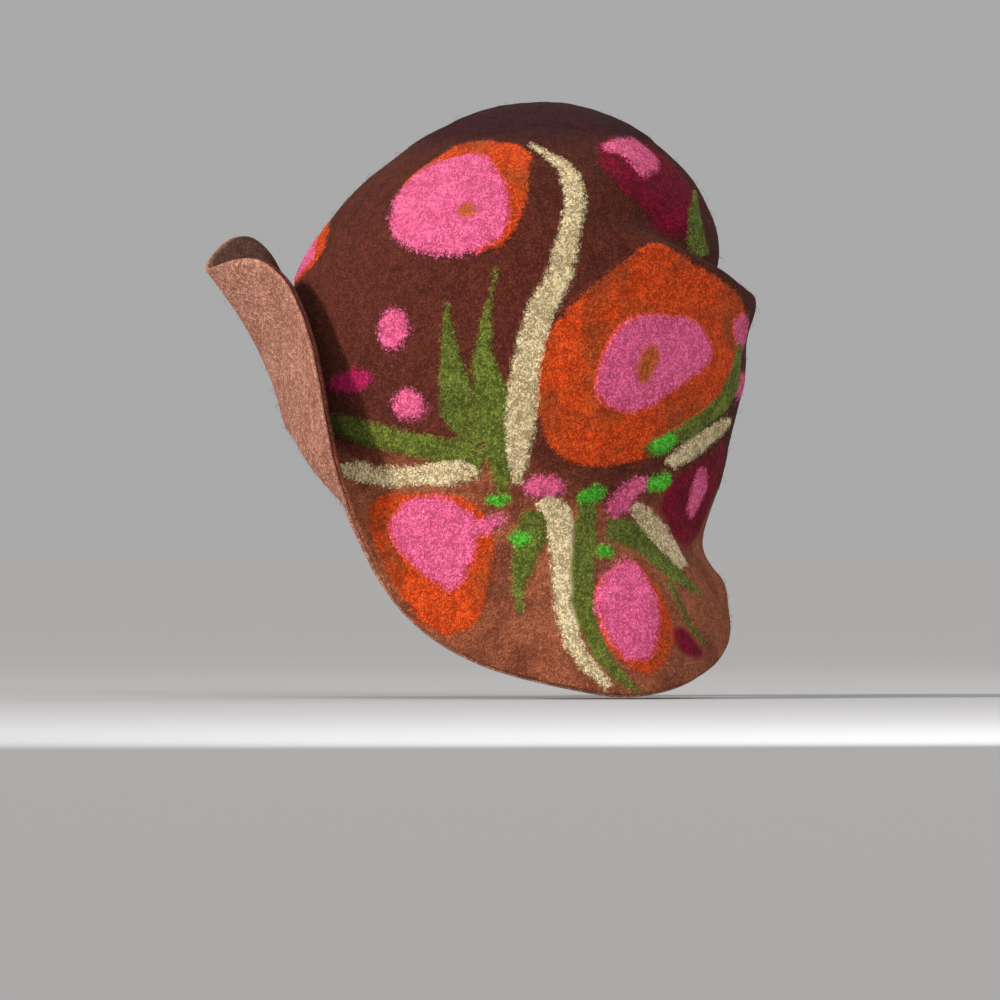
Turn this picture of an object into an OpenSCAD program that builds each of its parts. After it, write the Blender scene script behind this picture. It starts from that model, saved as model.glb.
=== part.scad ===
// Hand-felted wool cloche with a turned-up front brim and felted-in flowers.
// Millimetres, +Z up, the wearer faces -Y, and the origin is the centre of the head opening.

/* [Felt] */
// Thickness of the dark outer layer of felt
outer_thickness = 2.2; // [1.4:0.1:3]
// Thickness of the terracotta inner layer of felt
inner_thickness = 2.3; // [1.4:0.1:3]
// How far a prefelt motif stands proud of the felt below it
motif_height = 0.45; // [0.3:0.05:0.8]
// How deep a prefelt motif is felted in
motif_sink = 0.3; // [0.1:0.05:0.6]

/* [Back tuck] */
// Half of the angle that the tuck spans, measured from the centre of the back
tuck_span = 76; // [70:1:90]
// How far the lip of the tuck stands out
tuck_lip = 8; // [3:0.5:9]
// How far the valley above the lip is drawn in
tuck_valley = 7; // [3:0.5:9]
// How far the lip and the valley are drawn together
tuck_drop = 5; // [2:0.5:6]
// Height of the tuck at the centre of the back
tuck_height = 84; // [80:1:88]
// How much higher the tuck runs at the sides
tuck_rise = 28; // [16:1:32]
// Height of the band of felt that takes part in the tuck
tuck_size = 10; // [8:0.5:12]

/* [Sweatband] */
// Height of the grosgrain ribbon
band_height = 22; // [16:1:26]
// Thickness of the grosgrain ribbon
band_thickness = 0.9; // [0.6:0.1:1.4]
// Number of hand stitches along the lower edge of the ribbon
stitch_count = 36; // [24:2:44]
// Length of one stitch
stitch_length = 5; // [3:0.5:6]
// Radius of the sewing thread
thread_radius = 0.35; // [0.25:0.05:0.5]

/* [Hidden] */

BROWN = "#4b2820";
TERRACOTTA = "#b97a5e";
ORANGE = "#d0481c";
RUST = "#b4532a";
PINK = "#e05c96";
MAGENTA = "#a8205a";
BURGUNDY = "#560a18";
PLUM = "#33101c";
GREEN = "#5d6c26";
LIME = "#4fa32c";
CREAM = "#d0bb88";
RIBBON = "#3a2119";
THREAD = "#6b4636";

// The felt is a net of rings, from the centre of the crown to the free edge of the brim.
// Each ring has 24 stations, 15 degrees apart: 0 is the front, 6 the left side, 12 the back.
STATIONS = 24;

// Centre of the crown: distance behind the origin, height.
crown_top = [21, 176.2];
// Crown rings: front y and z, half width and z at the sides, back y and z.
crown_rings = [
    [-15, 169, 35, 168, 58, 169],
    [-46, 151, 62, 150, 85, 150],
    [-69, 132, 77, 130, 99, 133],
    [-85, 110, 86, 108, 107, 113],
    [-95, 92, 89, 86, 113, 94],
    [-99, 74, 91, 62, 119, 73],
    [-99, 57, 91.5, 36, 121, 50],
    [-97, 45, 90.5, 12, 114, 20],
    [-94, 37, 89, -8, 108, -10],
    [-92, 29, 88, -26, 98, -36]
];
// The ring where the front brim folds up and the sides and back flare, stations 0 to 12.
fold_left = [
    [0, -97, 21], [32, -92, 15], [56, -86, 3], [69, -75, -9], [79, -57, -20],
    [89, -32, -41], [96, 4, -57], [98, 38, -62], [90, 66, -64], [76, 86, -62],
    [55, 100, -58], [28, 108, -54], [0, 110, -52]
];
// The same ring on the wearer's right, stations 1 to 11 counted from the front.
fold_right = [
    [32, -92, 15], [56, -86, 3], [69, -75, -8], [79, -57, -19], [89, -32, -40],
    [96, 4, -57], [98, 38, -62], [90, 66, -64], [76, 86, -62], [55, 100, -58],
    [28, 108, -54]
];
// The free edge of the brim, in the same order.
rim_left = [
    [0, -136, 94], [30, -112, 102], [62, -88, 74], [84, -77, 14], [92, -62, -30],
    [99, -41, -68], [108, -4, -91], [113, 34, -100.5], [107, 64, -105.5], [89, 90, -100.5],
    [62, 105, -92], [32, 112, -82], [0, 113, -74]
];
rim_right = [
    [32, -122, 112], [60, -101, 95], [84, -76, 20], [92, -60, -26], [99, -41, -63],
    [108, -4, -89], [113, 34, -100], [107, 64, -106], [89, 90, -100], [62, 105, -91],
    [32, 112, -81]
];

// ---- The net of rings ----

function ring_point(ring, k) =
    let (a = k * 360 / STATIONS, c = cos(a), s = sin(a), end_z = c > 0 ? ring[1] : ring[5])
    [ring[2] * s, (ring[0] + ring[4]) / 2 - (ring[4] - ring[0]) / 2 * c, ring[3] * s * s + end_z * c * c];

function mirrored(p) = [-p[0], p[1], p[2]];

function whole_ring(left, right) =
    [for (k = [0:STATIONS - 1]) k <= 12 ? left[k] : mirrored(right[STATIONS - 1 - k])];

fold_ring = whole_ring(fold_left, fold_right);
rim_ring = whole_ring(rim_left, rim_right);
// The turned-up front brim lies close to the crown before it leans forward.
flap_hug = 8;
flap_ring = [
    for (k = [0:STATIONS - 1])
        let (from_front = min(k, STATIONS - k))
        (fold_ring[k] + rim_ring[k]) / 2 + [0, flap_hug * max(0, 1 - from_front / 3), 0]
];
net = concat(
    [[for (k = [0:STATIONS - 1]) [0, crown_top[0], crown_top[1]]]],
    [for (ring = crown_rings) [for (k = [0:STATIONS - 1]) ring_point(ring, k)]],
    [fold_ring, flap_ring, rim_ring]
);
RIM = len(net) - 1;

function wrap(k) = ((k % STATIONS) + STATIONS) % STATIONS;

// Control points that carry a cubic spline through the middle of three net points.
function control(p, before, after) = (8 * p - before - after) / 6;

function turned(row) = [for (k = [0:STATIONS - 1]) row[wrap(k + STATIONS / 2)]];

function sum(list, i = 0) = i == len(list) - 1 ? list[i] : list[i] + sum(list, i + 1);
function average(list) = sum(list) / len(list);

around = [for (row = net) [for (k = [0:STATIONS - 1]) control(row[k], row[wrap(k - 1)], row[wrap(k + 1)])]];
down = [
    for (i = [0:RIM])
        [for (k = [0:STATIONS - 1])
            i == RIM ? around[i][k]
                : control(around[i][k], i == 0 ? around[1][wrap(k + 12)] : around[i - 1][k], around[i + 1][k])]
];
top_row = [for (k = [0:STATIONS - 1]) average(down[0])];
mesh = concat(
    [turned(down[1]), top_row],
    [for (i = [1:RIM]) down[i]],
    [[for (k = [0:STATIONS - 1]) 2 * down[RIM][k] - down[RIM - 1][k]]]
);

// Cubic B-spline weights at a fraction f of a span.
function weights(f) = [
    pow(1 - f, 3) / 6,
    (3 * pow(f, 3) - 6 * f * f + 4) / 6,
    (-3 * pow(f, 3) + 3 * f * f + 3 * f + 1) / 6,
    pow(f, 3) / 6
];

function row_point(row, k, w) =
    w[0] * row[wrap(k - 1)] + w[1] * row[wrap(k)] + w[2] * row[wrap(k + 1)] + w[3] * row[wrap(k + 2)];

// The felt before it is tucked: u is the station around, t the ring from crown to rim.
function smooth_felt(u, t) =
    let (
        tc = min(max(t, 0), RIM), i = min(floor(tc), RIM - 1), w = weights(tc - i),
        k = floor(u), v = weights(u - k)
    )
    w[0] * row_point(mesh[i], k, v) + w[1] * row_point(mesh[i + 1], k, v)
        + w[2] * row_point(mesh[i + 2], k, v) + w[3] * row_point(mesh[i + 3], k, v);

function clamped(x, low, high) = min(max(x, low), high);
function eased(x) = let (c = clamped(x, 0, 1)) c * c * (3 - 2 * c);
function bell(x) = exp(-x * x);

// The outer face of the felt, with the tuck across the back.
function felt(u, t) =
    let (
        p = smooth_felt(u, t), a = u * 360 / STATIONS, off = abs(((a % 360) + 360) % 360 - 180),
        amount = eased((tuck_span - off) / (tuck_span * 0.75)),
        line = tuck_height + tuck_rise * (1 - cos(3 * min(off, 60))) / 2,
        h = (p[2] - line) / tuck_size,
        out = amount * (tuck_lip * bell(h + 0.6) - tuck_valley * bell(h - 0.9)),
        up = amount * tuck_drop * (bell(h + 0.3) - bell(h - 1.1))
    )
    p + [out * sin(a), -out * cos(a), up];

function unit(v) = v / norm(v);

function felt_normal(u, t) =
    let (e = 0.05, tc = clamped(t, 0.06, RIM))
    t < 0.01 ? [0, 0, 1]
        : unit(cross(felt(u, min(tc + e, RIM)) - felt(u, tc - e), felt(u + e, tc) - felt(u - e, tc)));

// A point at a height above the outer face; a negative height is inside the felt.
function skin(u, t, height) = felt(u, t) + height * felt_normal(u, t);

// ---- Felt layers ----

around_steps = 54;
// Rings that are drawn: closer together at the tuck and at the fold of the front brim.
drawn_rings = [
    for (t = [0.5:0.5:3]) t, for (t = [3.4:0.3:6.1]) t, for (t = [6.6:0.6:9.6]) t, for (t = [10:0.375:RIM]) t
];
down_steps = len(drawn_rings);
function layer_points(height) =
    concat(
        [skin(0, 0, height)],
        [for (t = drawn_rings, k = [0:around_steps - 1]) skin(k * STATIONS / around_steps, t, height)]
    );

module felt_layer(upper, lower) {
    size = 1 + down_steps * around_steps;
    cap = [for (k = [0:around_steps - 1]) [0, 1 + k, 1 + (k + 1) % around_steps]];
    quads = [
        for (i = [0:down_steps - 2], k = [0:around_steps - 1])
            let (a = 1 + i * around_steps + k, b = 1 + i * around_steps + (k + 1) % around_steps)
            each [[a, a + around_steps, b], [b, a + around_steps, b + around_steps]]
    ];
    edge = [
        for (k = [0:around_steps - 1])
            let (a = size - around_steps + k, b = size - around_steps + (k + 1) % around_steps)
            each [[a, a + size, b], [b, a + size, b + size]]
    ];
    shell = concat(cap, quads);
    polyhedron(
        concat(layer_points(upper), layer_points(lower)),
        concat(shell, edge, [for (f = shell) [f[2] + size, f[1] + size, f[0] + size]])
    );
}

// ---- Prefelt motifs ----
// Outlines are drawn in millimetres on an elevation of the hat and carried onto the felt along the
// line of sight: "left" and "right" are y, z; "front" and "back" are x, z.

function seen(view, p) = view == "left" || view == "right" ? [p[1], p[2]] : [p[0], p[2]];
function view_stations(view) =
    view == "left" ? [3:10] : view == "right" ? [14:21] : view == "back" ? [9:15] : [-3:3];

// The net point that looks nearest, as the start of the search.
function nearest(view, target) =
    let (
        found = [for (k = view_stations(view), t = [1:RIM - 3]) [norm(seen(view, felt(k, t)) - target), k, t]],
        least = min([for (f = found) f[0]])
    )
    [for (f = found) if (f[0] == least) [f[1], f[2]]][0];

// Station and ring of the point of the felt that is seen at the target.
function locate(view, target, guess, turns) =
    turns == 0 ? guess
        : let (
            e = 0.04, soft = 0.6,
            p = seen(view, felt(guess[0], guess[1])),
            a = (seen(view, felt(guess[0] + e, guess[1])) - p) / e,
            b = (seen(view, felt(guess[0], guess[1] + e)) - p) / e,
            r = target - p,
            aa = a * a + soft, bb = b * b + soft, ab = a * b, det = aa * bb - ab * ab,
            du = ((a * r) * bb - (b * r) * ab) / det,
            dt = ((b * r) * aa - (a * r) * ab) / det
        )
        locate(view, target,
            [guess[0] + clamped(du, -0.7, 0.7), clamped(guess[1] + clamped(dt, -0.7, 0.7), 0.3, RIM)], turns - 1);

function trace(view, targets, guess, i = 0) =
    i == len(targets) ? []
        : let (found = locate(view, targets[i], guess, i == 0 ? 12 : 6))
        concat([found], trace(view, targets, found, i + 1));

// A smooth closed curve through the outline's points.
function hermite(p0, p1, p2, p3, f) =
    p1 + 0.5 * f * (p2 - p0 + f * (2 * p0 - 5 * p1 + 4 * p2 - p3 + f * (3 * (p1 - p2) + p3 - p0)));
function closed_curve(points, n) =
    let (count = len(points))
    [for (i = [0:n - 1])
        let (s = i * count / n, k = floor(s))
        hermite(points[(k + count - 1) % count], points[k], points[(k + 1) % count], points[(k + 2) % count], s - k)];
function open_curve(points, n) =
    let (last = len(points) - 1)
    [for (i = [0:n])
        let (s = i * last / n, k = min(floor(s), last - 1))
        hermite(points[max(k - 1, 0)], points[k], points[k + 1], points[min(k + 2, last)], s - k)];

// A lens of prefelt on the felt: rings from its centre out to its edge, above and below.
module lens(edge, centre, rings, level) {
    n = len(edge);
    base = level * motif_height;
    function place(i, k, side) =
        let (
            f = i / rings, at = centre + f * (edge[k] - centre), crown = 1 - pow(f, 4),
            height = side > 0 ? base + motif_height * crown : base - motif_sink * crown
        )
        skin(at[0], at[1], height);
    points = concat(
        [place(0, 0, 1)],
        [for (i = [1:rings], k = [0:n - 1]) place(i, k, 1)],
        [place(0, 0, -1)],
        [for (i = [1:rings - 1], k = [0:n - 1]) place(i, k, -1)]
    );
    under = 1 + rings * n;
    function upper(i, k) = 1 + (i - 1) * n + k % n;
    function lower(i, k) = i == rings ? upper(i, k) : under + 1 + (i - 1) * n + k % n;
    faces = [
        for (k = [0:n - 1]) each [
            [0, upper(1, k), upper(1, k + 1)],
            [under, lower(1, k + 1), lower(1, k)]
        ],
        for (i = [1:rings - 1], k = [0:n - 1]) each [
            [upper(i, k), upper(i + 1, k), upper(i, k + 1)],
            [upper(i, k + 1), upper(i + 1, k), upper(i + 1, k + 1)],
            [lower(i, k), lower(i, k + 1), lower(i + 1, k)],
            [lower(i, k + 1), lower(i + 1, k + 1), lower(i + 1, k)]
        ]
    ];
    polyhedron(points, faces);
}

module blob(view, outline, level = 0, steps = 16, rings = 2) {
    middle = average(outline);
    targets = closed_curve(outline, steps);
    centre = locate(view, middle, nearest(view, middle), 14);
    lens(trace(view, targets, locate(view, targets[0], centre, 14)), centre, rings, level);
}

// A strip of prefelt: a centre line with its width at each point, tapered at both ends.
module strip(view, line, level = 0, steps = 10) {
    path = open_curve(line, steps);
    start = [path[0][0], path[0][1]];
    function flat(p) = [p[0], p[1]];
    function heading(k) = unit(flat(path[min(k + 1, steps)]) - flat(path[max(k - 1, 0)]));
    function beside(k, side) =
        flat(path[k]) + side * max(path[k][2], 1) / 2 * [-heading(k)[1], heading(k)[0]];
    base = level * motif_height;
    first = locate(view, start, nearest(view, start), 14);
    left = trace(view, [for (k = [0:steps]) beside(k, 1)], first);
    middle = trace(view, [for (k = [0:steps]) flat(path[k])], first);
    right = trace(view, [for (k = [0:steps]) beside(k, -1)], first);
    function place(q, height) = skin(q[0], q[1], height);
    points = concat(
        [for (q = left) place(q, base)],
        [for (k = [0:steps]) place(middle[k], base + motif_height)],
        [for (q = right) place(q, base)],
        [for (k = [0:steps]) place(middle[k], base - motif_sink)]
    );
    n = steps + 1;
    faces = [
        for (side = [0:3], k = [0:steps - 1])
            let (a = side * n + k, b = ((side + 1) % 4) * n + k)
            each side < 2 ? [[a, b, a + 1], [a + 1, b, b + 1]] : [[a, b, b + 1], [a, b + 1, a + 1]],
        [0, 3 * n, 2 * n], [0, 2 * n, n],
        [steps, n + steps, 2 * n + steps], [steps, 2 * n + steps, 3 * n + steps]
    ];
    polyhedron(points, faces);
}

// An oval outline for the motifs that need no other.
function oval(centre, half_width, half_height, lean = 0) =
    [for (a = [0:45:315])
        let (x = half_width * cos(a), y = half_height * sin(a))
        centre + [x * cos(lean) - y * sin(lean), x * sin(lean) + y * cos(lean)]];

// ---- Body of the hat ----

module outer_felt_layer() {
    color(BROWN) felt_layer(0, -outer_thickness);
}

module inner_felt_layer() {
    color(TERRACOTTA) felt_layer(-outer_thickness, -outer_thickness - inner_thickness);
}

// The ribbon's edges lie in planes that tilt down towards the nape.
opening_slope = 0.328;
function tilt_height(u, t) = let (p = felt(u, t)) p[2] + opening_slope * p[1];
function ring_at(u, height, low = 4, high = 10, turns = 14) =
    turns == 0 ? (low + high) / 2
        : let (middle = (low + high) / 2)
        tilt_height(u, middle) > height ? ring_at(u, height, middle, high, turns - 1)
            : ring_at(u, height, low, middle, turns - 1);

band_outside = -outer_thickness - inner_thickness - 0.1;
module sweatband() {
    n = 54;
    levels = 3;
    function row(depth) = [
        for (i = [0:levels], k = [0:n - 1])
            let (u = k * STATIONS / n)
            skin(u, ring_at(u, band_height * i / levels), depth)
    ];
    size = (levels + 1) * n;
    top = levels * n;
    faces = [
        for (i = [0:levels - 1], k = [0:n - 1])
            let (a = i * n + k, b = i * n + (k + 1) % n)
            each [
                [a, a + n, b], [b, a + n, b + n],
                [a + size, b + size, a + n + size], [b + size, b + n + size, a + n + size]
            ],
        for (k = [0:n - 1])
            let (b = (k + 1) % n)
            each [
                [k, b, k + size], [b, b + size, k + size],
                [top + k, top + k + size, top + b], [top + b, top + k + size, top + b + size]
            ]
    ];
    color(RIBBON) polyhedron(concat(row(band_outside), row(band_outside - band_thickness)), faces);
}

module sweatband_stitches() {
    stitch_rise = 2.5;
    depth = band_outside - band_thickness - thread_radius * 0.5;
    color(THREAD)
        for (i = [0:stitch_count - 1]) {
            u = (i + 0.5) * STATIONS / stitch_count;
            here = skin(u, ring_at(u, stitch_rise), depth);
            there = skin(u + 0.1, ring_at(u + 0.1, stitch_rise), depth);
            along = unit(there - here);
            translate(here)
                rotate([0, 0, atan2(along[1], along[0])])
                    rotate([0, 90 - asin(along[2]), 0])
                        cylinder(h = stitch_length, r = thread_radius, center = true, $fn = 16);
        }
}

// ---- Left side ----

module crown_flower_petals() {
    color(ORANGE) blob("left", [
        [-43, 137], [-28, 149], [-13, 157], [3, 157], [16, 152], [17, 137], [13, 120], [5, 108],
        [-8, 104], [-28, 108], [-43, 120]
    ], 0, 22, 3);
}

module crown_flower_pink() {
    color(PINK) blob("left", [
        [-51, 118], [-47, 132], [-34, 144], [-21, 149], [-6, 151], [4, 140], [8, 129], [6, 115],
        [-2, 107], [-14, 102], [-32, 102], [-45, 108]
    ], 1, 22, 3);
}

module crown_flower_centre() {
    color(RUST) blob("left", oval([-13, 123], 4.5, 4), 2, 10);
}

module front_flower_petals() {
    color(ORANGE) blob("front", oval([-4, 104], 34, 16), 0, 20, 3);
}

module front_flower_pink() {
    color(PINK) blob("front", oval([-4, 101], 27, 11), 1, 16);
}

module dot_upper() {
    color(PINK) blob("left", oval([-48, 67], 8, 10.5, -10), 0, 12);
}

module dot_lower() {
    color(PINK) blob("left", oval([-41, 31], 8.5, 8), 0, 12);
}

module dot_shadow() {
    color(MAGENTA) blob("left", oval([-69, 42], 11.5, 6, 15), 0, 12);
}

// The dark patch over the top follows the rings, so its edge is given by station.
module top_patch() {
    function reach(u) = 1.5 + 0.25 * cos(2 * u * 15) + 0.12 * cos(5 * u * 15 + 40);
    n = 24;
    rings = 4;
    function place(i, k, side) =
        let (u = k * STATIONS / n, f = i / rings, crown = 1 - pow(f, 4))
        skin(u, f * reach(u), side > 0 ? motif_height * crown : -motif_sink * crown);
    points = concat(
        [place(0, 0, 1)], [for (i = [1:rings], k = [0:n - 1]) place(i, k, 1)],
        [place(0, 0, -1)], [for (i = [1:rings - 1], k = [0:n - 1]) place(i, k, -1)]
    );
    under = 1 + rings * n;
    function upper(i, k) = 1 + (i - 1) * n + k % n;
    function lower(i, k) = i == rings ? upper(i, k) : under + 1 + (i - 1) * n + k % n;
    color(PLUM) polyhedron(points, [
        for (k = [0:n - 1]) each [
            [0, upper(1, k), upper(1, k + 1)],
            [under, lower(1, k + 1), lower(1, k)]
        ],
        for (i = [1:rings - 1], k = [0:n - 1]) each [
            [upper(i, k), upper(i + 1, k), upper(i, k + 1)],
            [upper(i, k + 1), upper(i + 1, k), upper(i + 1, k + 1)],
            [lower(i, k), lower(i, k + 1), lower(i + 1, k)],
            [lower(i, k + 1), lower(i + 1, k + 1), lower(i + 1, k)]
        ]
    ]);
}

module back_crown_petals() {
    color(BURGUNDY) blob("left", [
        [49, 154], [61, 160], [75, 155], [88, 143], [96, 131], [94, 113], [81, 111], [69, 125], [53, 140]
    ], 0, 20, 3);
}

module back_crown_pink() {
    color(PINK) blob("left", [
        [51, 154], [57, 158], [66, 158], [75, 152], [79, 145], [72, 138], [66, 144], [59, 150],
        [54, 151]
    ], 1, 16);
}

module back_blade() {
    color(GREEN) strip("left", [
        [96, 134, 1.5], [95.5, 122, 6], [96, 112, 8.5], [97, 103, 11]
    ], 0, 6);
}

module crown_stem() {
    color(CREAM) strip("left", [
        [17, 155, 1.5], [26, 150, 3.5], [34, 143, 7], [38, 133, 9.5], [38, 125, 9.5],
        [36, 113, 10], [33, 101, 11], [29, 88, 11.5], [22, 76, 12], [18, 62, 13], [15, 48, 14],
        [13, 31, 14.5], [12, 17, 13.5], [11, 4, 9], [11, -6, 4]
    ], 1, 20);
}

module big_flower_petals() {
    color(ORANGE) blob("left", [
        [76, 109], [59, 97], [41, 83], [27, 67], [20, 52], [20, 33], [24, 14], [34, 4],
        [52, 1], [71, 5], [94, 19], [108, 33], [115, 48], [119, 67], [119, 81], [108, 91],
        [92, 101]
    ], 0, 34, 4);
}

module big_flower_pink() {
    color(PINK) blob("left", [
        [57, 66], [69, 74], [84, 74], [96, 71], [103, 60], [102, 51], [92, 42], [80, 33],
        [69, 28], [57, 28], [48, 36], [49, 50]
    ], 1, 22, 3);
}

module big_flower_centre() {
    color(RUST) blob("left", [[70, 57], [74, 60], [78, 57], [77, 49], [72, 41], [68, 42], [67, 50]], 2, 12);
}

module back_bud_upper() {
    color(PINK) blob("back", oval([20, 66], 12, 9, 20), 0, 12);
}

module back_bud_lower() {
    color(PINK) blob("back", oval([13, 40], 11, 7, -10), 0, 12);
}

module back_vine() {
    color(GREEN) strip("left", [
        [117, 60, 3], [115, 47, 6], [110, 34, 7.5], [102, 26, 8], [92, 19, 8], [81, 13, 8],
        [71, 8, 5]
    ], 1, 12);
}

module right_stem() {
    color(CREAM) strip("left", [
        [84, 2, 5], [91, 8, 8], [99, 14, 8], [106, 19, 6.5], [112, 24, 3]
    ], 0, 6);
}

module burgundy_leaf() {
    color(BURGUNDY) blob("left", [
        [78, -18], [86, -4], [99, 5], [108, 13], [110, 8], [107, -5], [101, -22], [95, -35],
        [88, -36], [81, -25]
    ], 0, 20);
}

module burgundy_leaf_pink() {
    color(PINK) blob("left", [[91, -20], [93, -11], [96, -1], [101, 1], [102, -7], [99, -15], [94, -24]], 1, 14);
}

module lower_right_stem() {
    color(CREAM) strip("left", [
        [66, -17, 6], [75, -26, 9], [81, -34, 9], [86, -41, 7], [90, -46, 5]
    ], 1, 8);
}

module right_leaf() {
    color(GREEN) strip("left", [
        [54, -28, 9], [64, -30, 12], [73, -37, 9.5], [81, -45, 7.5], [90, -53, 5.5],
        [98, -59, 2.5]
    ], 0, 10);
}

module branch() {
    color(GREEN) strip("left", [[83, -53, 2.5], [88, -64, 3], [93, -74, 2.5], [100, -82, 2]], 0, 6);
}

module bud_centre() {
    color(PINK) blob("left", [[13, -8], [18, -2], [27, -2], [34, -7], [32, -12], [24, -14], [17, -13]], 1, 12);
}

module bud_right() {
    color(PINK) blob("left", [[53, -16], [58, -9], [68, -3], [73, -5], [69, -14], [62, -22], [54, -22]], 1, 12);
}

module bud_left() {
    color(PINK) blob("left", [[-11, -28], [-6, -23], [1, -20], [6, -23], [2, -28], [-5, -32]], 2, 12);
}

// Lime dots: y, z, half width, half height and lean of each.
LIME_DOTS = [
    [2, -14, 5.5, 3, 10], [46, -12, 7, 4, 20], [80, 12, 7, 4, 35],
    [79, -6, 6, 4, 30], [52, -39, 4.5, 3.5, 0], [12, -33, 4.5, 3.5, 0]
];

module lime_dots() {
    color(LIME)
        for (d = LIME_DOTS)
            blob("left", oval([d[0], d[1]], d[2], d[3], d[4]), 2, 8);
}

module blade_left() {
    color(GREEN) strip("left", [
        [-23, 79, 1.5], [-22, 67, 5], [-21, 54, 9], [-19, 42, 14], [-17, 30, 17],
        [-12, 19, 14], [-8, 12, 7]
    ], 0, 10);
}

module blade_right() {
    color(GREEN) strip("left", [
        [1, 96, 1], [-3, 77, 3], [-5, 60, 7], [-4, 46, 13], [-1, 31, 17], [2, 15, 16],
        [4, 1, 11], [3, -10, 4]
    ], 0, 12);
}

module left_band() {
    color(GREEN) strip("left", [
        [-82, 23, 5], [-68, 20, 10], [-53, 15, 11], [-38, 12, 11.5], [-22, 9, 12], [-6, 4, 12]
    ], 0, 10);
}

module left_stem() {
    color(CREAM) strip("left", [
        [-76, 0, 4], [-68, 0, 8], [-55, -3, 8.5], [-38, -3, 9], [-24, -2, 11.5], [-16, -1, 10],
        [-8, -2, 4]
    ], 0, 12);
}

module lower_left_petals() {
    color(ORANGE) blob("left", [
        [-54, -12], [-62, -24], [-58, -36], [-49, -54], [-38, -69], [-29, -77], [-20, -79], [-12, -76],
        [-5, -68], [-2, -53], [1, -36], [-6, -20], [-16, -13], [-36, -11]
    ], 0, 26, 3);
}

module lower_left_pink() {
    color(PINK) blob("left", [
        [-44, -16], [-36, -12], [-26, -12], [-18, -15], [-10, -21], [-8, -30], [-9, -41], [-14, -52],
        [-21, -59], [-31, -53], [-41, -45], [-48, -36], [-51, -27]
    ], 1, 22, 3);
}

module small_leaf() {
    color(GREEN) strip("left", [
        [19, -20, 9], [18, -29, 15], [15, -39, 12.5], [12, -53, 7.5], [12, -68, 2.5]
    ], 0, 8);
}

module lower_stem() {
    color(CREAM) strip("left", [
        [23, -14, 8], [30, -22, 12.5], [32, -35, 12], [33, -49, 11], [34, -64, 10],
        [37, -79, 8.5], [42, -91, 6.5], [49, -97, 5], [54, -103, 3]
    ], 0, 14);
}

module lower_vine() {
    color(GREEN) strip("left", [
        [44, -16, 8], [43, -34, 11.5], [42, -49, 11], [42, -64, 9.5], [46, -78, 8],
        [53, -90, 7], [61, -100, 5], [70, -106, 2.5]
    ], 0, 12);
}

module lower_right_petals() {
    color(ORANGE) blob("left", [
        [48, -58], [54, -49], [67, -43], [77, -55], [83, -67], [85, -80], [82, -91], [75, -98],
        [66, -96], [56, -88], [51, -78]
    ], 0, 22, 3);
}

module lower_right_pink() {
    color(PINK) blob("left", [
        [47, -64], [51, -51], [57, -45], [67, -43], [77, -60], [79, -73], [75, -89], [62, -91], [52, -78]
    ], 1, 18);
}

module burgundy_petal() {
    color(BURGUNDY) blob("left", [
        [85, -76], [90, -75], [96, -81], [100, -87], [97, -91], [91, -88], [86, -83]
    ], 0, 12);
}

// ---- Right side ----

module far_crown_petals() {
    color(ORANGE) blob("right", oval([-18, 118], 33, 28, 20), 0, 20, 3);
}

module far_crown_pink() {
    color(PINK) blob("right", oval([-20, 119], 22, 18, 20), 1, 18);
}

module far_big_petals() {
    color(ORANGE) blob("right", [
        [66, 88], [44, 82], [28, 66], [24, 42], [34, 20], [56, 12], [80, 20], [98, 38], [104, 60], [90, 80]
    ], 0, 24, 3);
}

module far_big_pink() {
    color(PINK) blob("right", oval([65, 52], 26, 21, 25), 1, 18);
}

module far_big_centre() {
    color(RUST) blob("right", oval([65, 52], 8, 5, 60), 2, 10);
}

module far_stem() {
    color(CREAM) strip("right", [
        [14, 152, 2], [24, 138, 5], [28, 118, 8], [22, 98, 10], [12, 78, 10], [6, 56, 11], [6, 32, 12],
        [10, 10, 9], [12, -6, 4]
    ], 1, 16);
}

module far_blade() {
    color(GREEN) strip("right", [[-34, 86, 1.5], [-30, 68, 6], [-27, 48, 12], [-22, 26, 15], [-14, 6, 9]], 0, 10);
}

module far_band() {
    color(GREEN) strip("right", [[-80, 24, 3], [-60, 17, 8], [-36, 9, 9], [-12, 2, 11], [12, -6, 6]], 0, 10);
}

module far_lower_petals() {
    color(ORANGE) blob("right", oval([-22, -44], 31, 26, -25), 0, 20, 3);
}

module far_lower_pink() {
    color(PINK) blob("right", oval([-21, -42], 21, 17, -25), 1, 16);
}

module far_lower_stem() {
    color(CREAM) strip("right", [[18, -14, 6], [26, -30, 10], [29, -52, 9], [35, -76, 7], [46, -96, 4]], 0, 10);
}

module far_lower_leaf() {
    color(GREEN) strip("right", [[42, -16, 6], [50, -32, 11], [60, -50, 10], [72, -68, 7], [84, -84, 3]], 0, 8);
}

module far_buds() {
    color(PINK) {
        blob("right", oval([24, -8], 9, 6, 10), 2, 10);
        blob("right", oval([74, -14], 10, 6, 30), 0, 10);
    }
}

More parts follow.
